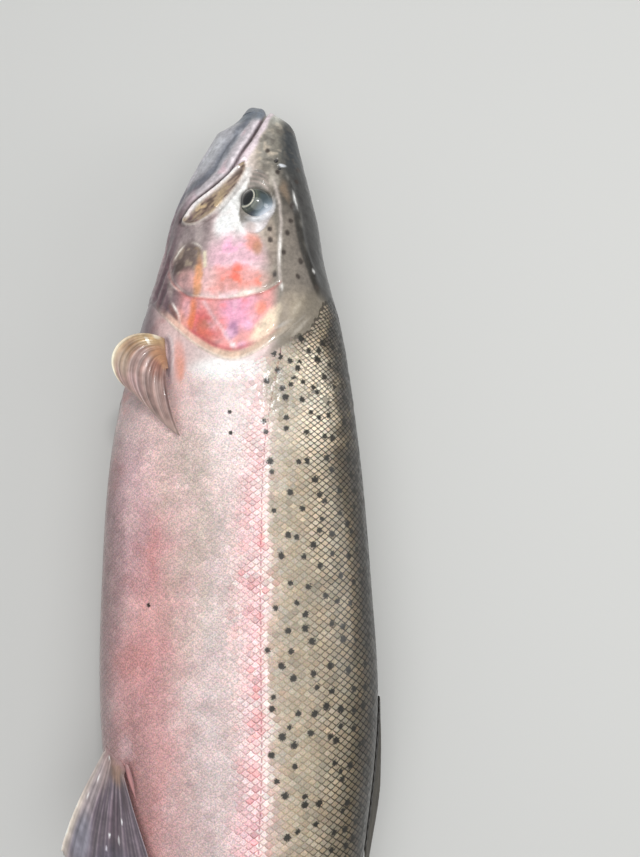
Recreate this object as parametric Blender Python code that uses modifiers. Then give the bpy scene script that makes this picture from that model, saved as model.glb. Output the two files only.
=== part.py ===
"""Rainbow trout at life size, lying still on its right side, belly towards -X and head towards +Y.

Every measure is in metres. The fish's own measures are "along", from the tip of the snout to the tail,
"up", from the middle line towards the back, and "side", from the middle plane towards the left flank.
The left flank faces up, because the fish lies on the right one.
"""

import math

import bmesh
import bpy
import numpy as np
from mathutils import Vector

# Driving sizes
FORK_LENGTH = 0.800
DEEPEST_ALONG = 0.46 * FORK_LENGTH  # the frame's origin lies on the floor below this place
GAP = 0.0003  # between touching pieces

# The body's lines, as shares of the fork length: along, back, belly, half width, height of the middle plane
STATIONS = {
    "lips": (0.0175, 0.0425, -0.0225, 0.0185, 0.0540),
    "nostrils": (0.0560, 0.0517, -0.0430, 0.0305, 0.0546),
    "eyes": (0.0900, 0.0600, -0.0568, 0.0390, 0.0552),
    "cheeks": (0.1310, 0.0668, -0.0652, 0.0470, 0.0560),
    "nape": (0.1750, 0.0780, -0.0778, 0.0520, 0.0568),
    "shoulders": (0.2560, 0.0905, -0.0958, 0.0563, 0.0577),
    "flank": (0.3750, 0.1012, -0.1027, 0.0600, 0.0588),
    "dorsal_fin": (0.4600, 0.1056, -0.1015, 0.0600, 0.0588),
    "behind_pelvic_fins": (0.5725, 0.0945, -0.0900, 0.0545, 0.0533),
    "vent": (0.6940, 0.0745, -0.0680, 0.0420, 0.0410),
    "adipose_fin": (0.8000, 0.0540, -0.0490, 0.0280, 0.0272),
    "tail_stem": (0.8690, 0.0465, -0.0425, 0.0200, 0.0192),
    "tail_root": (0.9300, 0.0510, -0.0465, 0.0140, 0.0130),
}
TAIL_ROOT = STATIONS["tail_root"][0] * FORK_LENGTH

MIDDLE_CUT = 0.5  # where the trunk's front and rear lengths meet, as a share of the fork length

# The blunt front of the head
CHIN_TIP = -0.0050
CHIN_UP = 0.0043
SNOUT_TIP = 0.0015
SNOUT_UP = 0.0150

# Section of the body
WIDEST_SHARE = 0.53  # of the depth, from the belly
TRUNK_FULLNESS = 2.10  # 2 is an ellipse, more is boxier
HEAD_TOP_EXTRA = 0.30
HEAD_THROAT_LESS = 0.25
SIDES = 32

# Eyes
EYE_ALONG = 0.0702
EYE_UP = 0.0106
EYE_RADIUS = 0.0112
EYE_DEPTH = 0.0212  # of its centre, from the middle plane
EYE_CLEARANCE = 0.0004

# Gill covers and upper jaw bones lie in pockets of this depth
PLATE = 0.0040

# Fins
FIN_THICKNESS = 0.0012
PAIRED_FIN_THICKNESS = 0.0011
DORSAL_BASE = (0.367, 0.455)  # where the dorsal fin grows from the back
DORSAL_RAYS_REACH = (0.062, 0.027)  # of the first and the last ray towards the tail, folded down
DORSAL_RAYS_RISE = (0.0105, 0.0050)  # of their tips from the back
DORSAL_LEAN = math.radians(55)  # over to the right flank, on which the fish lies
FLOOR = 0.0

OLIVE = (0.36, 0.34, 0.24)
SILVER = (0.74, 0.70, 0.66)
ROSE = (0.80, 0.42, 0.40)
GREY = (0.48, 0.47, 0.47)
AMBER = (0.52, 0.40, 0.27)
SMOKE = (0.33, 0.32, 0.34)
DARK_EYE = (0.03, 0.035, 0.03)


def clear_scene():
    for obj in list(bpy.data.objects):
        bpy.data.objects.remove(obj)


def collection(name, hidden=False):
    made = bpy.data.collections.new(name)
    bpy.context.scene.collection.children.link(made)
    made.hide_render = hidden
    return made


def material(name, colour, roughness, metallic=0.0):
    made = bpy.data.materials.new(name)
    made.use_nodes = True
    shader = made.node_tree.nodes["Principled BSDF"]
    shader.inputs["Base Color"].default_value = (*colour, 1.0)
    shader.inputs["Roughness"].default_value = roughness
    shader.inputs["Metallic"].default_value = metallic
    return made


def smooth_curve(knots, values, places):
    """A curve through the knots that leaves each one along the line between its neighbours."""
    slopes = np.gradient(values, knots)
    index = np.clip(np.searchsorted(knots, places) - 1, 0, len(knots) - 2)
    span = knots[index + 1] - knots[index]
    t = (places - knots[index]) / span
    inside = np.clip(t, 0.0, 1.0)
    curve = (
        (2 * inside**3 - 3 * inside**2 + 1) * values[index]
        + (inside**3 - 2 * inside**2 + inside) * span * slopes[index]
        + (3 * inside**2 - 2 * inside**3) * values[index + 1]
        + (inside**3 - inside**2) * span * slopes[index + 1]
    )
    before = np.minimum(t, 0.0) * span * slopes[0]
    after = np.maximum(t - 1.0, 0.0) * span * slopes[-1]
    return curve + before + after


def station_curve(column, along):
    table = np.array(list(STATIONS.values())) * FORK_LENGTH
    return float(smooth_curve(table[:, 0], table[:, column], np.array([along]))[0])


def rounding(along, start, end):
    """0 at the start, then along a quarter circle to 1 at the end."""
    t = min(max((along - start) / (end - start), 0.0), 1.0)
    return math.sqrt(1.0 - (1.0 - t) ** 2)


def lines_at(along):
    """(back, belly, half width) of the body at one place along it."""
    lips = STATIONS["lips"][0] * FORK_LENGTH
    if along < SNOUT_TIP:
        back = CHIN_UP + (SNOUT_UP - CHIN_UP) * rounding(along, CHIN_TIP, SNOUT_TIP)
    else:
        snout = rounding(along, SNOUT_TIP, lips)
        back = SNOUT_UP + (station_curve(1, along) - SNOUT_UP) * snout
    share = min(max((along - CHIN_TIP) / (lips - CHIN_TIP), 0.0), 1.0)
    chin = 0.25 * rounding(along, CHIN_TIP, CHIN_TIP + 0.005) + 0.75 * share**1.6
    belly = CHIN_UP + (station_curve(2, along) - CHIN_UP) * chin
    return back, belly, station_curve(3, along) * rounding(along, CHIN_TIP, lips)


def middle_height(along):
    """Height of the fish's middle plane above the floor."""
    return station_curve(4, along)


def place(along, up, side):
    """From the fish's own measures to the row frame. Nothing goes below the floor."""
    height = middle_height(along) + side
    return Vector((up, DEEPEST_ALONG - along, max(height, FLOOR)))


def power(value, exponent):
    return math.copysign(abs(value) ** exponent, value)


def section(along, inset=0.0):
    """The body's outline across its length, from the back down the left side and up the right one."""
    back, belly, half_width = lines_at(along)
    back, belly, half_width = back - inset, belly + inset, half_width - inset
    widest = belly + WIDEST_SHARE * (back - belly)
    head_share = min(max((0.30 * FORK_LENGTH - along) / (0.18 * FORK_LENGTH), 0.0), 1.0)
    top_power = 2.0 / (TRUNK_FULLNESS + HEAD_TOP_EXTRA * head_share)
    throat_power = 2.0 / (TRUNK_FULLNESS - HEAD_THROAT_LESS * head_share)
    points = []
    for step in range(SIDES):
        turn = 2 * math.pi * step / SIDES
        exponent = top_power if math.cos(turn) > 0 else throat_power
        reach = back - widest if math.cos(turn) > 0 else widest - belly
        up = widest + reach * power(math.cos(turn), exponent)
        points.append(place(along, up, half_width * power(math.sin(turn), exponent)))
    return points


def new_object(name, mesh, where, skin=None):
    made = bpy.data.objects.new(name, mesh)
    where.objects.link(made)
    if skin:
        mesh.materials.append(skin)
    return made


def body_length(name, cuts, where, skin=None, inset=0.0):
    """A closed length of the body with a flat end at the first and the last cut."""
    shape = bmesh.new()
    rings = [[shape.verts.new(p) for p in section(cut, inset)] for cut in cuts]
    for front, rear in zip(rings, rings[1:]):
        for i in range(SIDES):
            j = (i + 1) % SIDES
            shape.faces.new((front[i], front[j], rear[j], rear[i]))
    shape.faces.new(rings[0])
    shape.faces.new(rings[-1])
    bmesh.ops.recalc_face_normals(shape, faces=shape.faces)
    bmesh.ops.triangulate(shape, faces=shape.faces)
    mesh = bpy.data.meshes.new(name)
    shape.to_mesh(mesh)
    shape.free()
    mesh.shade_smooth()
    return new_object(name, mesh, where, skin)


def evenly(start, end, spacing):
    return np.linspace(start, end, max(2, round((end - start) / spacing) + 1))


# Outlines seen from the fish's left side, as (along, up) points


def gill_edge(up):
    """Where the free rear edge of the gill cover lies."""
    reach, height, bend = 0.050, 0.060, 1.6
    return 0.171 - reach * abs((up + 0.001) / height) ** bend


def cheek_edge(up):
    """Where the cheek ends and the gill cover's plates begin."""
    return 0.133 - 10.0 * (up + 0.005) ** 2


def head_outline():
    edge = [(gill_edge(up), up) for up in np.linspace(0.075, -0.075, 41)]
    return [*edge, (-0.02, -0.075), (-0.02, 0.075)]


def gill_outline():
    rear = [(gill_edge(up) + 0.01, up) for up in np.linspace(0.037, -0.047, 29)]
    front = [(cheek_edge(up), up) for up in np.linspace(-0.047, 0.037, 21)]
    return rear + front


def mouth_line():
    """From in front of the lips back to the jaw's joint."""
    knots = np.array([-0.010, 0.0075, 0.026, 0.042, 0.056, 0.070, 0.088])
    heights = np.array([0.0205, 0.0133, 0.0058, -0.0030, -0.0135, -0.0285, -0.0420])
    places = np.linspace(knots[0], knots[-1], 22)
    return list(zip(places, smooth_curve(knots, heights, places)))


def jaw_outline():
    return [*mouth_line(), (0.087, -0.050), (0.080, -0.075), (-0.010, -0.075)]


def upper_jaw_bone_outline():
    """A blade along the mouth's rear half, broad and round at its rear end."""
    front, rear = Vector((0.0450, 0.0020)), Vector((0.0845, -0.0305))
    line = rear - front
    across = Vector((-line.y, line.x)).normalized()
    shares = np.linspace(0.0, 1.0, 12)
    halves = 0.0070 * np.sqrt(np.clip(1 - ((shares - 0.66) / 0.68) ** 2, 0.02, 1))
    halves *= np.sqrt(np.clip((1.04 - shares) / 0.26, 0.0, 1.0))
    upper = [front + line * s + across * half for s, half in zip(shares, halves)]
    lower = [front + line * s - across * half for s, half in zip(shares, halves)]
    return [tuple(p) for p in upper + lower[::-1]]


def side_cutter(name, outline, where, low, high, grow=0.0):
    """A flat outline in the fish's middle plane, as a prism that runs from side low to side high."""
    curve = bpy.data.curves.new(name, "CURVE")
    curve.dimensions = "2D"
    curve.fill_mode = "BOTH"
    curve.extrude = (high - low) / 2
    curve.offset = grow
    spline = curve.splines.new("POLY")
    spline.points.add(len(outline) - 1)
    for point, (along, up) in zip(spline.points, outline):
        point.co = (up, DEEPEST_ALONG - along, 0.0, 1.0)
    spline.use_cyclic_u = True
    flat = new_object(name + "_curve", curve, where)
    flat.location.z = middle_height(EYE_ALONG) + (low + high) / 2
    bpy.context.view_layer.update()
    mesh = bpy.data.meshes.new_from_object(
        flat.evaluated_get(bpy.context.evaluated_depsgraph_get())
    )
    mesh.transform(flat.matrix_world)
    bpy.data.objects.remove(flat)
    shape = bmesh.new()
    shape.from_mesh(mesh)
    bmesh.ops.remove_doubles(shape, verts=shape.verts, dist=0.00001)
    bmesh.ops.recalc_face_normals(shape, faces=shape.faces)
    shape.to_mesh(mesh)
    shape.free()
    return as_helper(new_object(name, mesh, where))


def as_helper(obj):
    obj.hide_render = True
    obj.display_type = "WIRE"
    return obj


def boolean(obj, operation, other):
    modifier = obj.modifiers.new(operation.lower(), "BOOLEAN")
    modifier.operation = operation
    modifier.object = other
    modifier.solver = "EXACT"
    return obj


def baked(name, obj, where, helper=True):
    """The object with its modifiers applied, as a new one."""
    bpy.context.view_layer.update()
    graph = bpy.context.evaluated_depsgraph_get()
    mesh = bpy.data.meshes.new_from_object(obj.evaluated_get(graph))
    bpy.data.objects.remove(obj)
    made = new_object(name, mesh, where)
    return as_helper(made) if helper else made


def build_head(parts, cutters, skins):
    """Head, lower jaw, gill covers, upper jaw bones and eyes, parted from one blank."""
    front = evenly(CHIN_TIP + GAP, 0.016, 0.0029)
    cuts = np.concatenate([front, evenly(0.021, 0.185, 0.0100)])
    wide = 0.090

    def blank(name, where=parts, skin=None, inset=0.0):
        return body_length(name, cuts, where, skin, inset)

    head_zone = side_cutter("head_zone", head_outline(), cutters, -wide, wide)
    jaw_zone = side_cutter("jaw_zone", jaw_outline(), cutters, -wide, wide)
    jaw_room = side_cutter("jaw_room", jaw_outline(), cutters, -wide, wide, GAP)
    deep = as_helper(
        body_length("plate_backs", cuts[6:], cutters, inset=PLATE + GAP)
    )
    shallow = as_helper(body_length("plate_floors", cuts[6:], cutters, inset=PLATE))

    head = blank("head", skin=skins["silver"])
    boolean(head, "INTERSECT", head_zone)
    boolean(head, "DIFFERENCE", jaw_room)
    jaw = blank("lower_jaw", skin=skins["grey"])
    boolean(jaw, "INTERSECT", jaw_zone)

    for side, sign in (("left", 1), ("right", -1)):
        reach = sorted((0.004 * sign, wide * sign))
        plates = (
            ("gill_cover", gill_outline(), skins["rose"]),
            ("upper_jaw_bone", upper_jaw_bone_outline(), skins["grey"]),
        )
        for name, outline, skin in plates:
            zone = side_cutter(f"{name}_zone_{side}", outline, cutters, *reach)
            room = side_cutter(f"{name}_room_{side}", outline, cutters, *reach, GAP)
            pocket = baked(
                f"{name}_pocket_{side}", boolean(room, "DIFFERENCE", deep), cutters
            )
            boolean(head, "DIFFERENCE", pocket)
            plate = blank(f"{name}_{side}", skin=skin)
            boolean(plate, "INTERSECT", zone)
            boolean(plate, "DIFFERENCE", shallow)
            if name == "gill_cover":
                boolean(plate, "INTERSECT", head_zone)
            else:
                boolean(plate, "DIFFERENCE", jaw_room)
                boolean(jaw, "DIFFERENCE", pocket)
        centre = place(EYE_ALONG, EYE_UP, EYE_DEPTH * sign)
        socket = ball(f"socket_{side}", centre, EYE_RADIUS + EYE_CLEARANCE, cutters)
        boolean(head, "DIFFERENCE", as_helper(socket))
        ball(f"eye_{side}", centre, EYE_RADIUS, parts, skins["eye"])
    return head_zone


def ball(name, centre, radius, where, skin=None):
    shape = bmesh.new()
    bmesh.ops.create_uvsphere(shape, u_segments=16, v_segments=10, radius=radius)
    mesh = bpy.data.meshes.new(name)
    shape.to_mesh(mesh)
    shape.free()
    mesh.shade_smooth()
    made = new_object(name, mesh, where, skin)
    made.location = centre
    return made


def build_trunk(parts, cutters, skins):
    head_room = side_cutter("head_room", head_outline(), cutters, -0.09, 0.09, GAP)
    middle = MIDDLE_CUT * FORK_LENGTH
    vent = STATIONS["vent"][0] * FORK_LENGTH
    lengths = (
        ("trunk_front", 0.090, middle, skins["silver"]),
        ("trunk_rear", middle + GAP, vent, skins["silver"]),
        ("tail_stem", vent + GAP, TAIL_ROOT, skins["silver"]),
    )
    for name, start, end, skin in lengths:
        made = body_length(name, evenly(start, end, 0.0225), parts, skin)
        if name == "trunk_front":
            boolean(made, "DIFFERENCE", head_room)


def bezier(points, t):
    """Point on a cubic curve with four control points."""
    a, b, c, d = (Vector(p) for p in points)
    s = 1 - t
    return a * s**3 + b * (3 * s * s * t) + c * (3 * s * t * t) + d * t**3


def off_the_body(point, clearance):
    """The point itself or, if the body is in the way, one moved straight out until it is clear."""
    along, up, side = point
    if along > TAIL_ROOT + clearance:
        return point
    back, belly, half_width = lines_at(along)
    widest = belly + WIDEST_SHARE * (back - belly)
    reach = clearance + (back - widest if up > widest else widest - belly)
    wide = half_width + clearance
    full = TRUNK_FULLNESS
    level = abs((up - widest) / reach) ** full + abs(side / wide) ** full
    if level >= 1.0:
        return point
    out = max(level, 0.01) ** (-1 / full)
    return Vector((along, widest + (up - widest) * out, side * out))


def plate_of_rows(name, rows, where, skin, thickness, clearance):
    """A plate through rows of points in the fish's measures, kept off the body and the floor."""
    shape = bmesh.new()
    grid = []
    for row in rows:
        spots = [place(*off_the_body(point, clearance)) for point in row]
        for spot in spots:
            spot.z = max(spot.z, FLOOR + thickness / 2)
        grid.append([shape.verts.new(spot) for spot in spots])
    for first, second in zip(grid, grid[1:]):
        for k in range(len(first) - 1):
            shape.faces.new((first[k], first[k + 1], second[k + 1], second[k]))
    mesh = bpy.data.meshes.new(name)
    shape.to_mesh(mesh)
    shape.free()
    mesh.shade_smooth()
    made = new_object(name, mesh, where, skin)
    solid = made.modifiers.new("thickness", "SOLIDIFY")
    solid.thickness = thickness
    solid.offset = 0.0
    return made


def fin(name, lead, trail, where, skin, thickness, bulge=0.0, rays=7, steps=7, clearance=0.0012):
    """A fin spread between its leading and its trailing ray, each a cubic curve in the fish's measures."""
    rows = []
    for i in range(rays):
        share = i / (rays - 1)
        longer = 1 + bulge * 4 * share * (1 - share)
        lengths = [k / (steps - 1) * longer for k in range(steps)]
        rows.append([bezier(lead, t).lerp(bezier(trail, t), share) for t in lengths])
    return plate_of_rows(name, rows, where, skin, thickness, clearance)


def on_back(along):
    return lines_at(along)[0]


def on_belly(along):
    return lines_at(along)[1]


def build_middle_fins(parts, skins):
    """The fins in the middle plane: the folded dorsal fin, adipose, anal and tail fins."""
    rows = []
    for share in np.linspace(0, 1, 15):
        reach = DORSAL_RAYS_REACH[0] + (DORSAL_RAYS_REACH[1] - DORSAL_RAYS_REACH[0]) * share
        rise = DORSAL_RAYS_RISE[0] + (DORSAL_RAYS_RISE[1] - DORSAL_RAYS_RISE[0]) * share
        row = []
        for t in (0.0, 0.25, 0.5, 0.75, 1.0):
            along = DORSAL_BASE[0] + (DORSAL_BASE[1] - DORSAL_BASE[0]) * share + reach * t
            low = on_back(along) + 0.0006
            row.append(Vector((along, low + rise * t * math.cos(DORSAL_LEAN), -rise * t * math.sin(DORSAL_LEAN))))
        rows.append(row)
    plate_of_rows("dorsal_fin", rows, parts, skins["smoke"], FIN_THICKNESS, 0.0)

    start, end = 0.641, 0.656
    lead = [
        (start, on_back(start), 0),
        (0.650, 0.0500, 0),
        (0.662, 0.0590, 0),
        (0.676, 0.0600, 0),
    ]
    trail = [
        (end, on_back(end), 0),
        (0.660, 0.0455, 0),
        (0.668, 0.0470, 0),
        (0.676, 0.0500, 0),
    ]
    fin("adipose_fin", lead, trail, parts, skins["olive"], 2 * FIN_THICKNESS, 0.0, 5, 6)

    start, end = 0.566, 0.640
    lead = [
        (start, on_belly(start), 0),
        (0.584, -0.072, -0.004),
        (0.604, -0.094, -0.010),
        (0.622, -0.112, -0.016),
    ]
    trail = [
        (end, on_belly(end), 0),
        (0.646, -0.045, -0.001),
        (0.652, -0.051, -0.003),
        (0.657, -0.058, -0.005),
    ]
    fin("anal_fin", lead, trail, parts, skins["smoke"], FIN_THICKNESS, 0.06)


def build_tail_fin(parts, skins):
    """A slightly forked fan. Its rays fold out from the tail's root to the upper and the lower tip."""
    rays, steps = 15, 7
    back, belly, _ = lines_at(TAIL_ROOT)
    rows = []
    for i in range(rays):
        share = 1 - 2 * i / (rays - 1)  # 1 at the upper edge, -1 at the lower one
        root_up = (back + belly) / 2 + share * (back - belly) / 2 * 0.94
        root = Vector((TAIL_ROOT + 2 * GAP, root_up, 0))
        spread = 0.082 * share + 0.001
        tip = Vector((TAIL_ROOT + 0.058 + 0.030 * abs(share) ** 1.5, spread, -0.004))
        bend = Vector((0.55 * root.x + 0.45 * tip.x, 0.48 * root_up + 0.52 * spread, 0))
        row = []
        for k in range(steps):
            t = k / (steps - 1)
            row.append(root * (1 - t) ** 2 + bend * (2 * t * (1 - t)) + tip * t * t)
        rows.append(row)
    plate_of_rows("tail_fin", rows, parts, skins["smoke"], FIN_THICKNESS, 0.0)


def build_paired_fins(parts, skins):
    """Pectoral and pelvic fins. The left ones lie over the flank, the right ones on the floor below it."""
    rays = {
        "pectoral_fin_left": (
            [
                (0.1575, -0.0385, 0.036),
                (0.140, -0.073, 0.050),
                (0.176, -0.096, 0.026),
                (0.2165, -0.030, 0.046),
            ],
            [
                (0.1745, -0.0375, 0.039),
                (0.180, -0.043, 0.050),
                (0.196, -0.036, 0.050),
                (0.2155, -0.0285, 0.047),
            ],
            (0.0, 9, 11),
        ),
        "pectoral_fin_right": (
            [
                (0.159, -0.048, -0.029),
                (0.180, -0.066, -0.038),
                (0.215, -0.080, -0.046),
                (0.254, -0.078, -0.050),
            ],
            [
                (0.169, -0.040, -0.036),
                (0.184, -0.052, -0.0425),
                (0.205, -0.058, -0.047),
                (0.226, -0.060, -0.050),
            ],
            (0.0, 7, 7),
        ),
        "pelvic_fin_left": (
            [
                (0.395, -0.0745, 0.020),
                (0.412, -0.088, 0.022),
                (0.436, -0.0985, 0.016),
                (0.464, -0.108, 0.002),
            ],
            [
                (0.400, -0.060, 0.033),
                (0.418, -0.056, 0.0375),
                (0.436, -0.050, 0.040),
                (0.456, -0.044, 0.0415),
            ],
            (0.07, 7, 7),
        ),
        "pelvic_fin_right": (
            [
                (0.396, -0.0745, -0.023),
                (0.414, -0.084, -0.036),
                (0.438, -0.090, -0.046),
                (0.466, -0.093, -0.050),
            ],
            [
                (0.406, -0.065, -0.032),
                (0.418, -0.066, -0.041),
                (0.434, -0.065, -0.046),
                (0.452, -0.064, -0.048),
            ],
            (0.05, 7, 7),
        ),
    }
    for name, (lead, trail, counts) in rays.items():
        skin = skins["amber" if "pectoral" in name else "smoke"]
        fin(name, lead, trail, parts, skin, PAIRED_FIN_THICKNESS, *counts)


def main():
    clear_scene()
    parts = collection("rainbow_trout")
    cutters = collection("cutters")
    skins = {
        "olive": material("olive_skin", OLIVE, 0.35),
        "silver": material("silver_skin", SILVER, 0.30, 0.2),
        "rose": material("rose_skin", ROSE, 0.28),
        "grey": material("grey_skin", GREY, 0.30),
        "amber": material("amber_fin", AMBER, 0.35),
        "smoke": material("smoke_fin", SMOKE, 0.35),
        "eye": material("dark_eye", DARK_EYE, 0.08),
    }
    build_head(parts, cutters, skins)
    build_trunk(parts, cutters, skins)
    build_middle_fins(parts, skins)
    build_tail_fin(parts, skins)
    build_paired_fins(parts, skins)


main()
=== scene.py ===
"""Rainbow trout, a life-size still model lying on its right side: the looks of every surface.

Metres throughout. Inside the fish, points are (along, up, side): along from the snout to the tail, up from
the middle line to the back, side towards the left flank, which faces up. Small features are in millimetres.
"""

import math

import bmesh
import bpy
import numpy as np
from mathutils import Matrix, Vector


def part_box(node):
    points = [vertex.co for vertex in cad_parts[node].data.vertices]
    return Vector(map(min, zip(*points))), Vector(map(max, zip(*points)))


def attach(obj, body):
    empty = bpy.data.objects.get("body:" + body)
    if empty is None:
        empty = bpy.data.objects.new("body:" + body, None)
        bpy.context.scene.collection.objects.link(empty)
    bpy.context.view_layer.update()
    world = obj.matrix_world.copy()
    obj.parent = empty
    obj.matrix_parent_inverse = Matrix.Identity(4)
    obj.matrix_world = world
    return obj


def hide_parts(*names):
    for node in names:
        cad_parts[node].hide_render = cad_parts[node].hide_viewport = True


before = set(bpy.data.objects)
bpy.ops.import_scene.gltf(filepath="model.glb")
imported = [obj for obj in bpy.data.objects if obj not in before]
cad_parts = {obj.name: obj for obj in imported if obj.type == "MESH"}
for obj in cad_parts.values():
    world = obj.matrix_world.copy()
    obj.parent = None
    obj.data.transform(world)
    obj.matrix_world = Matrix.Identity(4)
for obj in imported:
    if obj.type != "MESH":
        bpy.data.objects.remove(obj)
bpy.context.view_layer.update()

# ---------------------------------------------------------------------------------------------
# The body's form. One closed skin of wet flesh and bone runs from the lips to the root of the tail fin.
# It is lofted through cross-sections, a scale's depth inside the solids, and takes the place of them all.
# ---------------------------------------------------------------------------------------------
MM = 0.001
FORK_LENGTH = 0.800
DEEPEST_ALONG = 0.46 * FORK_LENGTH
SCALE_DEPTH = 0.4 * MM
# along, back, belly, half width and height of the middle plane, as shares of the fork length
STATIONS = FORK_LENGTH * np.array(
    [
        (0.0175, 0.0425, -0.0225, 0.0185, 0.0540),  # lips
        (0.0560, 0.0517, -0.0430, 0.0305, 0.0546),  # nostrils
        (0.0900, 0.0600, -0.0568, 0.0390, 0.0552),  # eyes
        (0.1310, 0.0668, -0.0652, 0.0470, 0.0560),  # cheeks
        (0.1750, 0.0780, -0.0778, 0.0520, 0.0568),  # nape
        (0.2560, 0.0905, -0.0958, 0.0563, 0.0577),  # shoulders
        (0.3750, 0.1012, -0.1027, 0.0600, 0.0588),  # flank
        (0.4600, 0.1056, -0.1015, 0.0600, 0.0588),  # dorsal fin
        (0.5725, 0.0945, -0.0900, 0.0545, 0.0533),  # behind the pelvic fins
        (0.6940, 0.0745, -0.0680, 0.0420, 0.0410),  # vent
        (0.8000, 0.0540, -0.0490, 0.0280, 0.0272),  # adipose fin
        (0.8690, 0.0465, -0.0425, 0.0200, 0.0192),  # tail stem
        (0.9300, 0.0510, -0.0465, 0.0140, 0.0130),  # root of the tail fin
    ]
)
ALONG, BACK, BELLY, HALF_WIDTH, MIDDLE_HEIGHT = range(5)
TAIL_ROOT = STATIONS[-1, ALONG]
FLESH_END = TAIL_ROOT + 0.018  # the flesh thins out between the rays of the tail fin
CHIN_TIP, CHIN_UP = -5.0 * MM, 4.3 * MM
SNOUT_TIP, SNOUT_UP = 1.5 * MM, 15.0 * MM
WIDEST_SHARE = 0.53
TRUNK_FULLNESS, HEAD_TOP_EXTRA, HEAD_THROAT_LESS = 2.10, 0.30, 0.25


def smooth_curve(knots, values, places):
    """A curve through the knots that leaves each one along the line between its neighbours."""
    knots, values = np.asarray(knots, float), np.asarray(values, float)
    slopes = np.gradient(values, knots)
    index = np.clip(np.searchsorted(knots, places) - 1, 0, len(knots) - 2)
    span = knots[index + 1] - knots[index]
    t = (places - knots[index]) / span
    inside = np.clip(t, 0.0, 1.0)
    curve = (
        (2 * inside**3 - 3 * inside**2 + 1) * values[index]
        + (inside**3 - 2 * inside**2 + inside) * span * slopes[index]
        + (3 * inside**2 - 2 * inside**3) * values[index + 1]
        + (inside**3 - inside**2) * span * slopes[index + 1]
    )
    before = np.minimum(t, 0.0) * span * slopes[0]
    after = np.maximum(t - 1.0, 0.0) * span * slopes[-1]
    return curve + before + after


def step_up(value, start, end):
    """0 up to start, 1 from end on, smooth between them."""
    t = np.clip((value - start) / (end - start), 0.0, 1.0)
    return t * t * (3 - 2 * t)


def step_down(value, start, end):
    return 1 - step_up(value, start, end)


def band(value, start, full, fading, end):
    return step_up(value, start, full) * step_down(value, fading, end)


def hump(value, middle, spread):
    return np.exp(-(((value - middle) / spread) ** 2))


def rounding(along, start, end):
    t = np.clip((along - start) / (end - start), 0.0, 1.0)
    return np.sqrt(1.0 - (1.0 - t) ** 2)


def body_lines(along):
    """Back, belly and half width at places along the body."""
    lips = STATIONS[0, ALONG]
    known = np.clip(along, CHIN_TIP, TAIL_ROOT)
    back, belly, half = (
        smooth_curve(STATIONS[:, ALONG], STATIONS[:, line], known) for line in (BACK, BELLY, HALF_WIDTH)
    )
    before = CHIN_UP + (SNOUT_UP - CHIN_UP) * rounding(along, CHIN_TIP, SNOUT_TIP)
    behind = SNOUT_UP + (back - SNOUT_UP) * rounding(along, SNOUT_TIP, lips)
    back = np.where(along < SNOUT_TIP, before, behind)
    share = np.clip((along - CHIN_TIP) / (lips - CHIN_TIP), 0.0, 1.0)
    chin = 0.25 * rounding(along, CHIN_TIP, CHIN_TIP + 5 * MM) + 0.75 * share**1.6
    belly = CHIN_UP + (belly - CHIN_UP) * chin
    thinning = 1 - 0.93 * np.clip((along - TAIL_ROOT) / (FLESH_END - TAIL_ROOT), 0.0, 1.0) ** 1.3
    return back, belly, half * rounding(along, CHIN_TIP, lips) * thinning


def middle_height(along):
    return smooth_curve(STATIONS[:, ALONG], STATIONS[:, MIDDLE_HEIGHT], along)


def section(along, turn):
    """Points (along, up, side) on the smooth body. Turn 0 is the back, a quarter turn the left flank."""
    back, belly, half = body_lines(along)
    widest = belly + WIDEST_SHARE * (back - belly)
    head = np.clip((0.30 * FORK_LENGTH - along) / (0.18 * FORK_LENGTH), 0.0, 1.0)
    c, s = np.cos(turn), np.sin(turn)
    top = 2.0 / (TRUNK_FULLNESS + HEAD_TOP_EXTRA * head)
    throat = 2.0 / (TRUNK_FULLNESS - HEAD_THROAT_LESS * head)
    power = np.where(c > 0, top, throat)
    reach = np.where(c > 0, back - widest, widest - belly)
    up = widest + reach * np.sign(c) * np.abs(c) ** power
    side = half * np.sign(s) * np.abs(s) ** power
    return np.stack(np.broadcast_arrays(along, up, side), axis=-1)


def to_frame(points, clearance=0.0):
    """From the fish's measures to the frame. Nothing goes below the floor."""
    along, up, side = points[..., 0], points[..., 1], points[..., 2]
    height = np.maximum(middle_height(along) + side, clearance)
    return np.stack([up, DEEPEST_ALONG - along, height], axis=-1)


def from_frame(points):
    along = DEEPEST_ALONG - points[..., 1]
    return np.stack([along, points[..., 0], points[..., 2] - middle_height(along)], axis=-1)


def gill_edge(up):
    """Where the free rear edge of the gill cover lies."""
    return 0.171 - np.minimum(0.050 * np.abs((up + 0.001) / 0.060) ** 1.6, 0.042)


def grid_normals(points, closed_round=False):
    """Unit normals of a grid of points, by differences along its rows and columns."""
    down = np.gradient(points, axis=0)
    if closed_round:
        across = np.roll(points, -1, axis=1) - np.roll(points, 1, axis=1)
    else:
        across = np.gradient(points, axis=1)
    normals = np.cross(across, down)
    return normals / np.maximum(np.linalg.norm(normals, axis=-1, keepdims=True), 1e-12)


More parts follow.
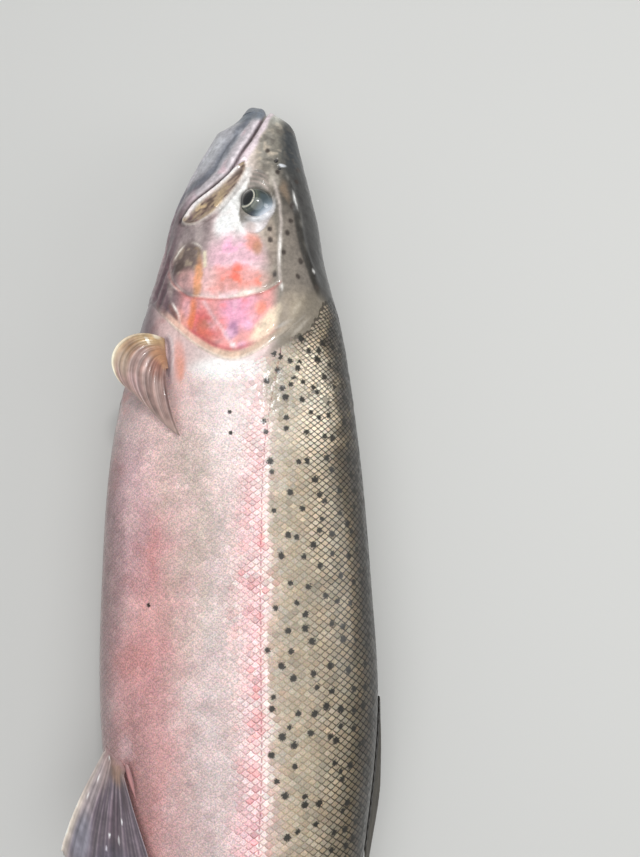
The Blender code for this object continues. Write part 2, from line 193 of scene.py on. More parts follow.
def mottling(points, size, seed):
    """A smooth random field from -1 to 1 with lumps of one size."""
    cells = points / size + 1000.0
    corner = np.floor(cells).astype(np.int64)
    part = cells - corner
    part = part * part * (3 - 2 * part)
    total = np.zeros(points.shape[:-1])
    for i in (0, 1):
        for j in (0, 1):
            for k in (0, 1):
                mixed = (corner[..., 0] + i) * 73856093 ^ (corner[..., 1] + j) * 19349663
                mixed ^= (corner[..., 2] + k) * 83492791 ^ seed * 2654435761
                mixed = (mixed ^ (mixed >> 13)) * 1274126177 & 0xFFFFFFFF
                mixed = (mixed ^ (mixed >> 16)) & 0xFFFF
                weight = np.where(i, part[..., 0], 1 - part[..., 0])
                weight = weight * np.where(j, part[..., 1], 1 - part[..., 1])
                weight = weight * np.where(k, part[..., 2], 1 - part[..., 2])
                total += weight * (mixed / 32767.5 - 1)
    return total


# Lines and outlines on the head, in millimetres along and up, seen from the fish's left
MOUTH = [(-8, 19), (2, 15.5), (9, 13), (15, 10.5), (25, 6), (35, 0.5), (45, -4), (50, -7), (55, -12),
         (59, -17), (62, -21), (66, -27), (70, -31), (75, -34.5), (79, -37)]
JAW_BLADE = [(42, 3), (48, 3.8), (55, 1.5), (60, -1), (66, -5), (72, -10), (77, -14), (81, -20),
             (83.5, -27), (83, -31.5), (79.5, -35.5), (75, -33.5), (70, -30), (66, -25), (62, -19),
             (58, -14), (53, -9), (47, -3.5)]
JAW_BLADE_RIM = [(44, -1.5), (48, -5), (53, -9.5), (58, -14.5), (62, -19.5), (66, -25), (70, -29.5),
                 (75, -33.5), (79.5, -35.5)]
JAW_GROOVE = [(6, 6), (15, 0), (25, -8), (35, -13), (45, -17), (55, -25), (63, -33)]
CHEEK_EDGE = [(121, 27), (124, 24), (128, 18), (131, 8), (133, -2), (133, -12), (132, -20), (130, -28),
              (125, -34), (119, -39), (110, -42), (100, -43)]
PLATE_SEAM = [(134, -20), (145, -13), (155, -6), (165, 0)]
LOWER_PLATE = [(131, -27), (140, -31), (150, -34), (158, -35)]
GILL_FOLD = [(108, -40), (103.5, -38), (98.5, -34.5), (95.5, -29), (97, -25), (100, -21.5), (104, -19.3)]
GLEAM = [(101.5, -19.5), (106, -18.9), (110, -18.7), (114.5, -18.3)]
LOWER_FOLD = [(117, -42), (121, -39.5), (125, -36), (128, -31)]
REAR_FOLD = [(132, -39.5), (137, -36.5), (143, -33.5), (152, -33)]
RIM_FOLD = [(128, -45), (135, -45.5), (143, -43.5), (148, -39), (152, -34), (158, -28)]
CHEST_CREASE = [(154, -42.5), (157, -40.0), (162, -38.6), (170, -37.9), (178, -38.2), (188, -38.4)]
BROW = [(47, 27), (51, 29), (60, 32.5), (67, 34), (74, 36), (86, 38), (100, 41), (115, 46), (128, 51)]
TEMPLE = [(51, 20), (60, 22.5), (67, 24), (77, 25.5), (90, 26), (105, 25.5), (123, 26.5), (134, 30)]
EYE_LID = [(48.5, 9), (55.5, 6.5), (65, 3.5), (72.5, 1), (80, 1), (85, 2), (89, 4), (92, 7.5), (92, 12.5),
           (88.5, 16.5), (82, 19.5), (75.5, 22), (69.5, 22), (62.5, 19.5), (55.5, 18), (51, 16.5),
           (48, 12.5)]
EYE_OPENING = (70.5, 10.5, 9.4, 8.6)  # along, up, and its half length and half height


def smooth_line(points, closed=False):
    """A rounded line through a few points, about 1 mm from one to the next."""
    points = np.array(points + points[:1] if closed else points, float)
    chords = np.concatenate([[0], np.cumsum(np.linalg.norm(np.diff(points, axis=0), axis=1))])
    places = np.linspace(0, chords[-1], max(int(chords[-1] / 1.5), 6))
    return np.stack([smooth_curve(chords, points[:, k], places) for k in (0, 1)], axis=-1)


def near_line(along, up, points, reach=14.0, closed=False):
    """Distance in mm to a line, which is positive above it or inside it, and how far along the line."""
    line = smooth_line(points, closed)
    distance = np.full(along.shape, -99.0 if closed else 99.0)
    share = np.zeros(along.shape)
    low, high = line.min(0) - reach, line.max(0) + reach
    close = (along > low[0]) & (along < high[0]) & (up > low[1]) & (up < high[1])
    spots = np.stack([along[close], up[close]], axis=-1)
    start, step = line[:-1], np.diff(line, axis=0)
    offset = spots[:, None] - start
    t = np.clip((offset * step).sum(-1) / (step**2).sum(-1), 0, 1)
    gap = offset - t[..., None] * step
    length = np.linalg.norm(gap, axis=-1)
    best = length.argmin(1)
    rows = np.arange(len(spots))
    if closed:
        a, b = line[:-1], line[1:]
        crossing = (a[:, 1] > spots[:, 1:]) != (b[:, 1] > spots[:, 1:])
        rise = np.where(b[:, 1] == a[:, 1], 1e-9, b[:, 1] - a[:, 1])
        reached = a[:, 0] + (spots[:, 1:] - a[:, 1]) * (b[:, 0] - a[:, 0]) / rise
        inside = (crossing & (spots[:, :1] < reached)).sum(1) % 2 == 1
        sign = np.where(inside, 1.0, -1.0)
    else:
        turned = step[best, 0] * gap[rows, best, 1] - step[best, 1] * gap[rows, best, 0]
        sign = np.where(turned >= 0, 1.0, -1.0)
    distance[close] = sign * length[rows, best]
    share[close] = (best + t[rows, best]) / len(start)
    return distance, share


def ends_fade(share, start=0.06, end=0.06):
    return band(share, 0.0, start, 1 - end, 1.0)


def eye_distance(along, up):
    """Distance from the middle of the eye's opening in mm, where the opening's rim is at 9."""
    middle_along, middle_up, half_length, half_height = EYE_OPENING
    return 9 * np.hypot((along - middle_along) / half_length, (up - middle_up) / half_height)


def head_relief(points):
    """How far the skin of the head and gill covers stands out from the smooth body, in mm."""
    flat = points.reshape(-1, 3)
    along, up, side = (flat / MM).T
    out = np.zeros(along.shape)
    off_middle = step_up(np.abs(side), 1.5, 6.0)

    d, share = near_line(along, up, MOUTH)
    fade = step_down(share, 0.93, 1.0)
    blade, _ = near_line(along, up, JAW_BLADE, closed=True)
    on_blade = step_up(blade, -0.8, 0.9)
    out -= 2.3 * hump(d, 0, 1.1) * fade
    out += 0.9 * hump(d, 3.2, 2.2) * step_down(share, 0.45, 0.6)
    out += 0.9 * hump(d, -4.2, 2.6) * fade
    out += (1.3 - 0.5 * hump(blade, 4.5, 3.0)) * on_blade
    out += 0.5 * hump(blade, 1.4, 0.9)
    out -= 0.7 * hump(blade, -1.6, 0.9)
    d, share = near_line(along, up, JAW_GROOVE)
    out -= 1.2 * hump(d, 0, 1.5) * ends_fade(share, 0.1, 0.15)

    r = eye_distance(along, up)
    lid, _ = near_line(along, up, EYE_LID, closed=True)
    out -= 3.0 * step_down(r, 9.2, 15.5)
    out += 0.30 * hump(r, 10.2, 0.8) * step_down(along, 66, 76)
    out -= 0.85 * np.clip(9.0 - r, 0, 9)
    out -= 0.7 * band(lid, -0.3, 0.7, 1.5, 6.0)
    wrinkle = np.sin((r + 0.25 * up) * 2 * math.pi / 3.1)
    out += 0.16 * wrinkle * hump(r, 14.0, 3.0) * step_down(along, 60, 70) * step_up(lid, 0.0, 1.0)

    out -= 1.8 * hump(np.hypot(along - 40.3, (up - 22.4) * 1.1), 0, 1.35)
    out -= 1.4 * hump(np.hypot(along - 45.6, up - 24.6), 0, 1.1)
    out += 0.9 * hump(np.hypot((along - 43.4) * 1.5, up - 24.6), 0, 1.6)

    for line, height, spread in ((BROW, 0.9, 1.8), (TEMPLE, 0.6, 1.5)):
        d, share = near_line(along, up, line)
        out += height * hump(d, 0, spread) * ends_fade(share, 0.15, 0.2)
        out -= 0.45 * height * hump(d, -3.4, 1.5) * ends_fade(share, 0.15, 0.2)

    d, share = near_line(along, up, CHEEK_EDGE, reach=25)
    fade = ends_fade(share, 0.08, 0.08)
    uneven = 0.75 + 0.5 * mottling(flat, 8 * MM, 33)
    out += fade * uneven * (0.62 * step_up(-d, -0.2, 1.6) * step_down(-d, 1.5, 14) - 0.42 * hump(d, 0.9, 0.8))
    for line, depth in ((PLATE_SEAM, 0.45), (LOWER_PLATE, 0.6)):
        d, share = near_line(along, up, line)
        out -= depth * hump(d, 0, 0.9) * ends_fade(share, 0.15, 0.1)
        out += 0.3 * hump(d, 2.2, 1.4) * ends_fade(share, 0.15, 0.1)

    for line in (GILL_FOLD, GLEAM, LOWER_FOLD, REAR_FOLD, RIM_FOLD):
        d, share = near_line(along, up, line)
        out += 0.34 * uneven * hump(d, 0, 0.9) * ends_fade(share, 0.2, 0.2)

    behind = along - gill_edge(flat[:, 1]) / MM
    cover = band(up, -66, -50, 33, 45)
    out += cover * 0.5 * step_up(behind, -16, -1.5) * (behind <= 0)
    out -= cover * 0.45 * hump(behind, -6.8, 1.6)
    out -= cover * 0.25 * step_down(behind, 1.0, 8.0) * (behind > 0)
    out += 0.8 * cover * hump(behind, 8.5, 4.0) * step_up(up, -30, -20)

    # the throat: rays of the gill membrane, and the furrow under the chin
    rays = step_up(-up, 36, 43) * step_up(along, 84, 104) * step_down(behind, -6, 0)
    fan = (along - 60) * 0.33 + up
    out += 0.65 * rays * np.sin(fan * 2 * math.pi / 5.4)
    furrow = step_up(-up, 12, 24) * band(along, 14, 30, 100, 140)
    out -= 1.8 * furrow * hump(np.abs(side), 6.5 + along * 0.03, 1.8)
    out += 1.0 * hump(np.hypot((along - 166) / 10, (up + 40) / 7, (side - np.sign(side) * 38) / 12), 0, 1.0)

    lumps = 0.16 * mottling(flat, 5 * MM, 3) + 0.09 * mottling(flat, 2.2 * MM, 4)
    return (out * (0.35 + 0.65 * off_middle) + lumps * step_up(r, 9.5, 12)).reshape(points.shape[:-1])


def skin_rings():
    """Where the skin's rings lie along the body, closest together on the head, in metres."""
    quarter = np.linspace(0, math.pi / 2, 15)[1:]
    chin = CHIN_TIP + (SNOUT_TIP - CHIN_TIP) * (1 - np.cos(quarter))
    lips = SNOUT_TIP + (STATIONS[0, ALONG] - SNOUT_TIP) * (1 - np.cos(np.linspace(0, math.pi / 2, 25)[1:]))
    face = np.arange(14.5, 100, 0.5) * MM
    cheek = np.arange(100.2, 170.6, 0.9) * MM
    behind_gills = np.arange(172.2, 200, 1.3) * MM
    trunk = np.linspace(0.204, TAIL_ROOT - 0.002, 50)
    tail = np.linspace(TAIL_ROOT, FLESH_END, 7)
    gills = [GILL_LIP, GILL_LIP + 0.5 * MM]
    return np.concatenate([chin, lips, face, cheek, gills, behind_gills, trunk, tail])


GILL_LIP = 171 * MM  # the two rings at the free edge of the gill cover: its lip, and the skin under it
AROUND = 256
LEFT_SHARE = 0.60  # of each ring's points are on the left flank, which faces up


def skin_grid():
    """(along, up, side) of every point of the skin, ring by ring."""
    rings = skin_rings()[:, None]
    left = int(AROUND * LEFT_SHARE)
    turns = np.concatenate([
        np.linspace(0, math.pi, left, endpoint=False),
        np.linspace(math.pi, 2 * math.pi, AROUND - left, endpoint=False),
    ])[None, :]
    bent = band(rings, 0.096, GILL_LIP, GILL_LIP, 0.250)
    along = rings + 0 * turns
    for _ in range(4):
        up = section(along, turns)[..., 1]
        along = rings + bent * (gill_edge(up) - GILL_LIP)
    smooth = section(along, turns)
    relief = head_relief(smooth) * MM * step_down(along, 0.190, 0.215)
    relief -= SCALE_DEPTH * step_up(along, CHIN_TIP, 0.006)
    vent = hump(np.hypot((along - 0.553) / 0.007, smooth[..., 2] / 0.006), 0, 1.0) * (smooth[..., 1] < 0)
    relief += 1.4 * MM * vent
    normals = grid_normals(smooth, closed_round=True)
    if (normals[..., 2] * smooth[..., 2]).sum() < 0:
        normals = -normals
    return smooth + normals * relief[..., None]


def closed_grid_faces(rows, columns):
    """Faces of a tube of rings with a fan at each end. Its two end points come after the rings' points."""
    i, j = np.meshgrid(np.arange(rows - 1), np.arange(columns), indexing="ij")
    k = (j + 1) % columns
    here, there = i * columns, (i + 1) * columns
    quads = np.stack([here + j, here + k, there + k, there + j], axis=-1)
    first, last = rows * columns, rows * columns + 1
    fans = [(first, (n + 1) % columns, n) for n in range(columns)]
    start = (rows - 1) * columns
    fans += [(last, start + n, start + (n + 1) % columns) for n in range(columns)]
    return quads.reshape(-1, 4).tolist() + fans


def new_object(name, data):
    made = bpy.data.objects.new(name, data)
    bpy.context.scene.collection.objects.link(made)
    return made


def new_piece(name, vertices, faces, material):
    """A smooth mesh object at the origin, with its place in its mesh."""
    mesh = bpy.data.meshes.new(name)
    mesh.from_pydata(np.asarray(vertices).tolist(), [], faces)
    mesh.update()
    mesh.shade_smooth()
    mesh.materials.append(material)
    return new_object(name, mesh)


def read(items, field, width=1, kind=float):
    """One field of each of a mesh's points, faces or corners, with so many numbers in it."""
    flat = np.empty(len(items) * width, kind)
    items.foreach_get(field, flat)
    return flat if width == 1 else flat.reshape(-1, width)


def store(mesh, name, values, vectors=False):
    """A value, a colour or a vector at each point of a mesh."""
    values = np.asarray(values, float)
    if vectors:
        mesh.attributes.new(name, "FLOAT_VECTOR", "POINT").data.foreach_set("vector", values.ravel())
    elif values.ndim == 1:
        mesh.attributes.new(name, "FLOAT", "POINT").data.foreach_set("value", values)
    else:
        opaque = np.concatenate([values, np.ones((len(values), 1))], axis=1)
        mesh.color_attributes.new(name, "FLOAT_COLOR", "POINT").data.foreach_set("color", opaque.ravel())


# The markings, with some painted highlights, painted reflections and painted shade among them: painted alike
# on the skin, the scales and the roots of the fins.
# Colours are written as a painter's 0 to 255 red, green and blue.
BACK_TO_BELLY = [  # height as a share of the back's or the belly's, and the colour there
    (-1.00, (200, 180, 176)),
    (-0.86, (196, 162, 162)),
    (-0.70, (212, 168, 168)),
    (-0.48, (212, 176, 176)),
    (-0.30, (202, 176, 172)),
    (-0.10, (210, 192, 189)),
    (0.02, (220, 200, 195)),
    (0.10, (232, 200, 199)),
    (0.20, (240, 204, 204)),
    (0.245, (246, 228, 220)),
    (0.27, (182, 170, 151)),
    (0.46, (166, 154, 134)),
    (0.62, (158, 146, 126)),
    (0.74, (122, 113, 96)),
    (0.83, (80, 72, 58)),
    (0.92, (54, 50, 45)),
    (1.00, (46, 44, 41)),
]
HEAD_TOP_TO_THROAT = [
    (-1.00, (150, 138, 142)),
    (-0.80, (118, 98, 102)),
    (-0.60, (132, 110, 113)),
    (-0.42, (160, 138, 138)),
    (-0.28, (226, 204, 203)),
    (0.00, (244, 236, 232)),
    (0.16, (222, 208, 199)),
    (0.30, (186, 172, 158)),
    (0.42, (138, 130, 118)),
    (0.60, (86, 81, 74)),
    (0.80, (52, 51, 50)),
    (0.92, (44, 44, 45)),
    (1.00, (38, 39, 40)),
]
LATERAL_LINE = [(120, 40), (161, 28), (211, 19.5), (300, 17), (400, 18), (450, 16), (555, 8), (640, 4),
                (760, 2)]
SMALL_SPOTS_ON_HEAD = [
    (34, 17), (49, 23.5), (53, 35), (44, 36), (72, 32.5), (82, 32), (90.5, 30), (89, 19.5), (96.5, 20),
    (104, 28), (108, 38), (118, 36.5), (118, 23), (123, 47.5), (135, 40), (137, 50), (146, 36), (158, 33),
]
SPOT_STEP = 10.8  # mm from one dark spot to the next
SPOT_COLOUR, HEAD_SPOT_COLOUR = (38, 36, 32), (56, 48, 43)
SINGLE_SPOTS = [(213, -1), (201, -2), (309, -46), (168.5, 25), (170.5, 31), (174.5, 35.5), (176.5, 24),
                (181, 33.5), (164, 42), (163, 48), (187, 27), (183, 18)]


def ramp(values, stops):
    places = [stop[0] for stop in stops]
    colours = np.array([stop[1] for stop in stops], float)
    return np.stack([np.interp(values, places, colours[:, k]) for k in range(3)], axis=-1)


def lay(base, colour, amount):
    """Paint a colour over the base, as thick as the amount from 0 to 1."""
    amount = np.clip(amount, 0, 1)[:, None]
    return base * (1 - amount) + np.asarray(colour, float) * amount


def to_linear(colour):
    shown = np.clip(colour, 0, 255) / 255
    return np.where(shown <= 0.04045, shown / 12.92, ((shown + 0.055) / 1.055) ** 2.4)


def blot(along, up, middle, size, lean=0.0):
    """A soft oval mark, 1 in its middle. Its half sizes are in mm and it leans by some degrees."""
    c, s = math.cos(math.radians(lean)), math.sin(math.radians(lean))
    x, y = along - middle[0], up - middle[1]
    r = np.hypot((x * c + y * s) / size[0], (-x * s + y * c) / size[1])
    return 1 - step_up(r, 0.45, 1.25)


def lateral_line(along):
    """How high the lateral line runs, in mm, at places along the body in mm."""
    return smooth_curve(*zip(*LATERAL_LINE), along)


def spot_places():
    """Middle and size of every dark spot: strewn over the back and upper flanks, closest near the tail."""
    chance = np.random.default_rng(14)
    spots = []
    for start in np.arange(160, 752, SPOT_STEP):
        back, belly, half = (float(line[0]) / MM for line in body_lines(np.array([start * MM])))
        from_back = (back + half) * 0.9  # round the flank, from the back down to the widest level
        reach = from_back * (0.86 if start < 470 else 1.15)
        for flank in (1, -1):
            for lane in np.arange(0.3 * SPOT_STEP, reach, SPOT_STEP):
                along = start + chance.uniform(-0.42, 0.42) * SPOT_STEP
                turn = (lane + chance.uniform(-0.42, 0.42) * SPOT_STEP) / from_back * math.pi / 2
                size = chance.uniform(1.5, 2.3)
                if chance.uniform() < 0.84:
                    spots.append((along, turn * flank, size, chance.uniform(0, 6.28)))
    for along, up in SINGLE_SPOTS:
        back, belly, _ = body_lines(np.array([along * MM]))
        widest = (belly + WIDEST_SHARE * (back - belly))[0] / MM
        reach = back[0] / MM - widest if up > widest else widest - belly[0] / MM
        level = np.clip(abs(widest - up) / reach, 0, 1) ** (TRUNK_FULLNESS / 2)
        turn = math.pi / 2 - math.copysign(math.asin(level), up - widest)
        spots.append((along, turn, 1.3 if up < 10 else 1.9, chance.uniform(0, 6.28)))
    return spots


SPOTS = spot_places()


def spot_shade(points):
    """How dark the spots make each point, from 0 to 1."""
    shade = np.zeros(len(points))
    order = np.argsort(points[:, 0])
    sorted_along = points[order, 0]
    for along, turn, size, twist in SPOTS:
        middle = section(np.array([along * MM]), np.array([turn]))[0]
        reach = 2.2 * size * MM
        first, last = np.searchsorted(sorted_along, [middle[0] - reach, middle[0] + reach])
        near = order[first:last]
        gap = (points[near] - middle) / MM
        sideways = np.hypot(gap[:, 1], gap[:, 2]) * np.sign(gap[:, 1] + 0.3 * gap[:, 2])
        angle = np.arctan2(sideways, gap[:, 0])
        rim = size * (1 + 0.24 * np.cos(2 * angle + twist) + 0.20 * np.cos(3 * angle + 2.3 * twist))
        mark = 1 - step_up(np.linalg.norm(gap, axis=1), rim * 0.65, rim * 1.2)
        shade[near] = np.maximum(shade[near], mark)
    return shade


def measures(points):
    """Places along and up in mm, and the height as a share of the back's or, below 0, of the belly's."""
    back, belly, _ = body_lines(points[:, 0])
    up = points[:, 1]
    return points[:, 0] / MM, up / MM, np.where(up > 0, up / back, up / -belly)


class Painting:
    """The colours of some points, painted layer over layer. Two grains fray the edges of the dabs."""

    def __init__(self, colour, along, up, coarse=0.0, grain=0.0):
        self.colour = colour
        self.along, self.up = along, up
        self.coarse, self.grain = coarse, grain

    def wash(self, colour, amount):
        self.colour = lay(self.colour, colour, amount)

    def dab(self, colour, amount, middle, size, lean=0.0, fray=(0, 0)):
        """A soft oval mark, with so many mm of the coarse and of the fine grain in its edge."""
        along, up = self.along + fray[0] * self.coarse, self.up + fray[1] * self.grain
        self.wash(colour, amount * blot(along, up, middle, size, lean))

    def shaded(self, shade):
        return self.colour * (1 + shade)[:, None]


def trunk_colours(points):
    """Colours of the trunk, with olive back, rosy band and silver flank, some painted reflection and some
    painted shade.
    """
    along, up, height = measures(points)
    wobble = mottling(points, 14 * MM, 7) * 0.035 + mottling(points, 5 * MM, 8) * 0.02
    lateral = lateral_line(along)
    line = lateral / 17 * 0.205
    level = np.where(up > 0, height - (line - 0.205) * hump(height, 0.2, 0.3), height) + wobble
    level = level + 0.10 * mottling(points, 6 * MM, 18) * step_down(along, 200, 240) * (up > 0)
    paint = Painting(ramp(level, BACK_TO_BELLY), along, up)
    wash, dab = paint.wash, paint.dab
    fore = step_down(along, 205, 262)
    # whiter flank behind the gills: partly its own silver, partly a painted reflection
    wash((240, 228, 224), 0.8 * fore * hump(up, -2, 24) * (up < 60))
    wash((230, 208, 202), 0.5 * fore * step_up(-up, 20, 36))
    dab((236, 214, 208), 0.55, (226, -36), (52, 22), 8)
    # painted shade low on the flank by the pectoral fin, not on the underside
    wash((184, 168, 167), 0.6 * fore * step_up(-up, 42, 60) * step_down(-height, 0.88, 1.0))
    dab((212, 202, 184), 0.65 * band(along, 152, 172, 205, 250), (192, 40), (48, 20))
    lumps = ((26, 51, 0.6), (11, 52, 0.5), (4, 53, 0.25))
    patches = sum(mottling(points, size * MM, seed) * weight for size, seed, weight in lumps)
    low = step_down(up, -8, 4)
    dab((192, 178, 166), 0.8 * step_up(patches, -0.5, 0.3), (275, -26), (80, 22))
    dab((236, 228, 224), 0.55 * step_up(along, 280, 330) * step_up(patches, -0.2, 0.4), (400, -14), (130, 20))
    dab((206, 180, 186), 0.6, (262, -62), (50, 20))
    wash((168, 126, 120), 0.6 * step_up(along, 360, 420) * step_up(-up, 22, 40)
         * step_up(-patches, -0.5, 0.4))
    wash((232, 208, 204), 0.5 * low * step_up(patches, 0.15, 0.6))
    wash((196, 136, 132), 0.5 * low * step_up(-up, 26, 44) * step_up(-patches, 0.1, 0.6))
    # painted shade where the flank turns under towards the belly; the underside itself stays pale
    wash((146, 124, 124), 0.70 * step_up(-height, 0.72, 0.93) * step_up(along, 200, 240))
    wash((222, 208, 203), 0.75 * step_up(-height, 0.93, 1.0) * step_up(along, 150, 190))
    aft = step_up(along, 375, 450)
    wash((228, 190, 198), 0.6 * aft * hump(height, 0.16, 0.16))
    wash((206, 180, 178), 0.5 * aft * step_up(-height, -0.02, 0.2) * step_down(-height, 0.35, 0.6))
    wash((188, 146, 144), 0.5 * aft * step_up(-height, 0.35, 0.6))
    wash((176, 164, 140), 0.45 * step_up(along, 560, 700) * step_up(height, -0.2, 0.5))
    wash((206, 148, 145), 0.6 * hump(along, 335, 85) * hump(up, -44, 17))
    rose = step_up(along, 215, 300) * hump(up - lateral, -2, 9 + 4 * aft)
    wash((238, 188, 188), 0.36 * rose * step_up(patches, -0.8, 0.5))
    # painted shade at the edge of the belly
    dab((150, 124, 124), 0.40, (300, -70), (45, 11))
    wash((232, 200, 204), 0.75 * blot(along + 2 * wobble, up, (388, -59), (8, 5.5)))
    dab((150, 104, 102), 0.55, (401, -56), (10, 3.2), 18)
    dab((136, 124, 104), 0.35, (300, 60), (45, 12))
    # painted shade: the rear flank made dimmer, as in fainter light towards the tail
    dab((190, 170, 168), 0.35, (405, -6), (60, 16))
    dab((168, 136, 134), 0.40, (400, -55), (50, 14))
    return paint.shaded(0.05 * mottling(points, 9 * MM, 21) + 0.035 * mottling(points, 3 * MM, 22))


def head_colours(points):
    """Colours of the head, gill covers and lips, part by part, with painted highlights and painted shade
    among them.
    """
    along, up, height = measures(points)
    wobble = mottling(points, 9 * MM, 5) * 0.05 + mottling(points, 3.5 * MM, 6) * 0.03
    coarse, grain = mottling(points, 6 * MM, 10), mottling(points, 2.5 * MM, 9)
    paint = Painting(ramp(height + wobble, HEAD_TOP_TO_THROAT), along, up, coarse, grain)
    wash, dab = paint.wash, paint.dab

    # the snout, the forehead and the temple
    snout = step_down(along, 34, 60)
    rough_up = up + 2.0 * coarse + 1.0 * grain
    wash((150, 145, 135), 0.9 * snout * step_up(up, 8, 14) * step_down(rough_up, 22, 32))
    wash((112, 108, 96), 0.45 * snout * step_up(rough_up, 15, 24))
    wash((50, 54, 57), 0.9 * snout * step_up(rough_up, 22, 31))
    wash((190, 176, 158), 0.7 * snout * step_up(grain, 0.15, 0.6) * step_up(up, 8, 12)
         * step_down(up, 20, 30))
    wash((104, 98, 90), 0.5 * snout * step_up(-grain - 0.4 * coarse, 0.2, 0.7) * step_up(up, 10, 18))
    dab((168, 142, 116), 0.55, (62, 28.5), (9, 3.0), 18, (1, 1))
    dab((192, 184, 172), 0.6, (53, 21), (8, 4), 10, (1, 1))
    wash((206, 206, 196), 0.85 * step_down(along, 6, 16) * band(up, 13, 17, 22, 30))
    skull = step_up(up, 27 + 0.12 * (along - 60), 33 + 0.12 * (along - 60)) * step_up(along, 40, 60)
    wash((62, 60, 57), 0.5 * skull)
    ridge_shadow = hump(up, 45 + 0.12 * (along - 110), 1.9) * band(along, 92, 102, 136, 144)
    wash((26, 24, 22), 0.85 * ridge_shadow * step_up(coarse + grain, -0.5, 0.2))
    d, share = near_line(along, up, BROW)
    broken = step_up(mottling(points, 7 * MM, 34), -0.25, 0.35)
    # painted highlights along the brow ridge: a broken pale line and two white glints
    wash((186, 182, 172), 0.6 * broken * hump(d, 0.4, 1.1) * ends_fade(share, 0.1, 0.5))
    for start, end in ((0.15, 0.36), (0.785, 0.845)):
        taper = np.sin(math.pi * np.clip((share - start) / (end - start), 0, 1))
        wash((255, 255, 252), 0.9 * taper * hump(d, 0.2 + 0.3 * grain, 0.35 + 0.45 * taper))
    temple = step_up(up, 26.5, 29) * step_down(d, -4, -2) * band(along, 68, 80, 136, 150)
    wash((142, 132, 121), 0.72 * temple)
    # painted shade: a dark line just below the brow ridge
    wash((42, 38, 31), 0.85 * hump(d, -1.6, 1.5) * band(share, 0.33, 0.45, 0.95, 1.0))
    d, share = near_line(along, up, TEMPLE)
    # painted highlights along the temple ridge: a pale line and two white glints
    wash((214, 202, 194), 0.75 * hump(d, 0.2 + 0.5 * coarse, 1.3) * ends_fade(share, 0.1, 0.2))
    for start, end in ((0.46, 0.76), (0.86, 0.94)):
        taper = np.sin(math.pi * np.clip((share - start) / (end - start), 0, 1))
        wash((255, 252, 246), 0.9 * taper * hump(d, 0.4 * grain, 0.35 + 0.5 * taper))

    # the skin round the eye
    lid, _ = near_line(along, up, EYE_LID, closed=True)
    r = eye_distance(along, up)
    inside = step_up(lid, -0.5, 0.6)
    below = 1 - step_up(up + 0.25 * (along - 70), 8, 13)
    # white below the eye: partly its own silver, partly a painted reflection
    wash((252, 252, 248), 0.9 * step_down(-lid, 3.0, 7.0) * step_down(up, 3, 9) * (along > 46))
    wash((158, 150, 140), 0.95 * inside)
    wash((240, 235, 236), 0.9 * inside * step_up(along + 0.5 * up, 78, 88))
    wash((216, 210, 204), 0.9 * inside * step_up(up, 18.5, 21))
    wash((128, 123, 116), 0.85 * inside * below * step_up(r, 8.5, 10) * step_down(along, 82, 88))
    dab((196, 178, 172), 0.7, (88.5, 8), (5, 4))
    # painted light on the crests of the wrinkles round the eye and painted shade in their troughs
    fold = np.sin((r + 0.25 * up) * 2 * math.pi / 3.1)
    folded = inside * step_down(along, 58, 68) * step_up(r, 10, 12)
    wash((182, 160, 152), 0.45 * folded * step_up(fold, 0.0, 0.8))
    wash((122, 114, 106), 0.35 * folded * step_up(-fold, 0.2, 0.9))
    dab((198, 186, 184), 0.6 * inside, (78, 20), (12, 5), -20)
    # painted shade round the front of the eye's rim
    wash((64, 60, 54), 0.8 * hump(r, 9.8, 1.2) * step_down(along - 0.35 * up, 64, 74))
    # painted reflection: a pale bluish glow round the rear of the eye
    wash((236, 238, 242), 0.75 * hump(r, 10.5, 2.4) * step_up(along + 0.8 * up, 80, 90))

    # the cheek: white below the eye, partly its own silver and partly a painted reflection, then pink and
    # orange, with a dark hollow low down
    behind_jaw, under_eye = blot(along, up, (86, -8), (10, 7), -10), blot(along, up, (66, -6), (19, 6.0), -14)
    white_cheek_and_sheen = np.maximum(under_eye, behind_jaw)
    # white cheek: partly its own silver, partly a painted reflection
    wash((252, 253, 250), 0.95 * white_cheek_and_sheen)
    dab((246, 192, 208), 0.80, (108, 0), (17, 20), 0, (1.5, 0))
    dab((236, 150, 200), 0.45 * step_up(coarse + 0.6 * grain, -0.2, 0.6), (106, 2), (12, 14))
    dab((226, 140, 116), 0.65, (98.5, 10), (6.5, 5.0), 30, (1.5, 1.5))
    dab((176, 130, 92), 0.5, (102, 12.5), (5, 3), 0, (1, 0))
    dab((250, 224, 222), 0.45, (114, 2), (4.5, 17), 4, (1, 0))
    dab((240, 158, 148), 0.80, (122.5, -4), (9.0, 24), 3, (1.2, 0))
    sunset = step_up(coarse + 0.7 * grain, -0.3, 0.5)
    for middle, size in (((125, -2), (5, 9)), ((121, 16), (6, 5)), ((118, 1), (7, 3.5))):
        dab((236, 112, 88), 0.75 * sunset, middle, size)
    dab((250, 206, 202), 0.75, (121, -18), (10, 8), 20)
    mottled = blot(along, up, (92, -27), (19, 12), -12) * (1 - white_cheek_and_sheen)
    wash((166, 152, 150), 0.85 * mottled)
    wash((196, 182, 178), 0.5 * mottled * step_up(coarse, 0.0, 0.5))
    hollow = blot(along, up, (107, -31), (13, 9), -14)
    wash((112, 96, 88), 0.80 * hollow)
    dab((84, 68, 62), 0.7 * step_up(-grain, -0.6, 0.4), (107, -36), (11, 4.5), 4, (1, 0))
    wash((176, 160, 138), 0.65 * hollow * step_up(grain + 0.5 * coarse, 0.1, 0.6))
    dab((150, 128, 96), 0.5 * step_up(grain, -0.2, 0.4), (103, -25), (6, 4))
    dab((238, 182, 176), 0.8 * step_up(coarse, -0.9, 0.2), (120, -30), (8, 7))
    dab((184, 168, 162), 0.8, (121, -41), (12, 2.6), 6)
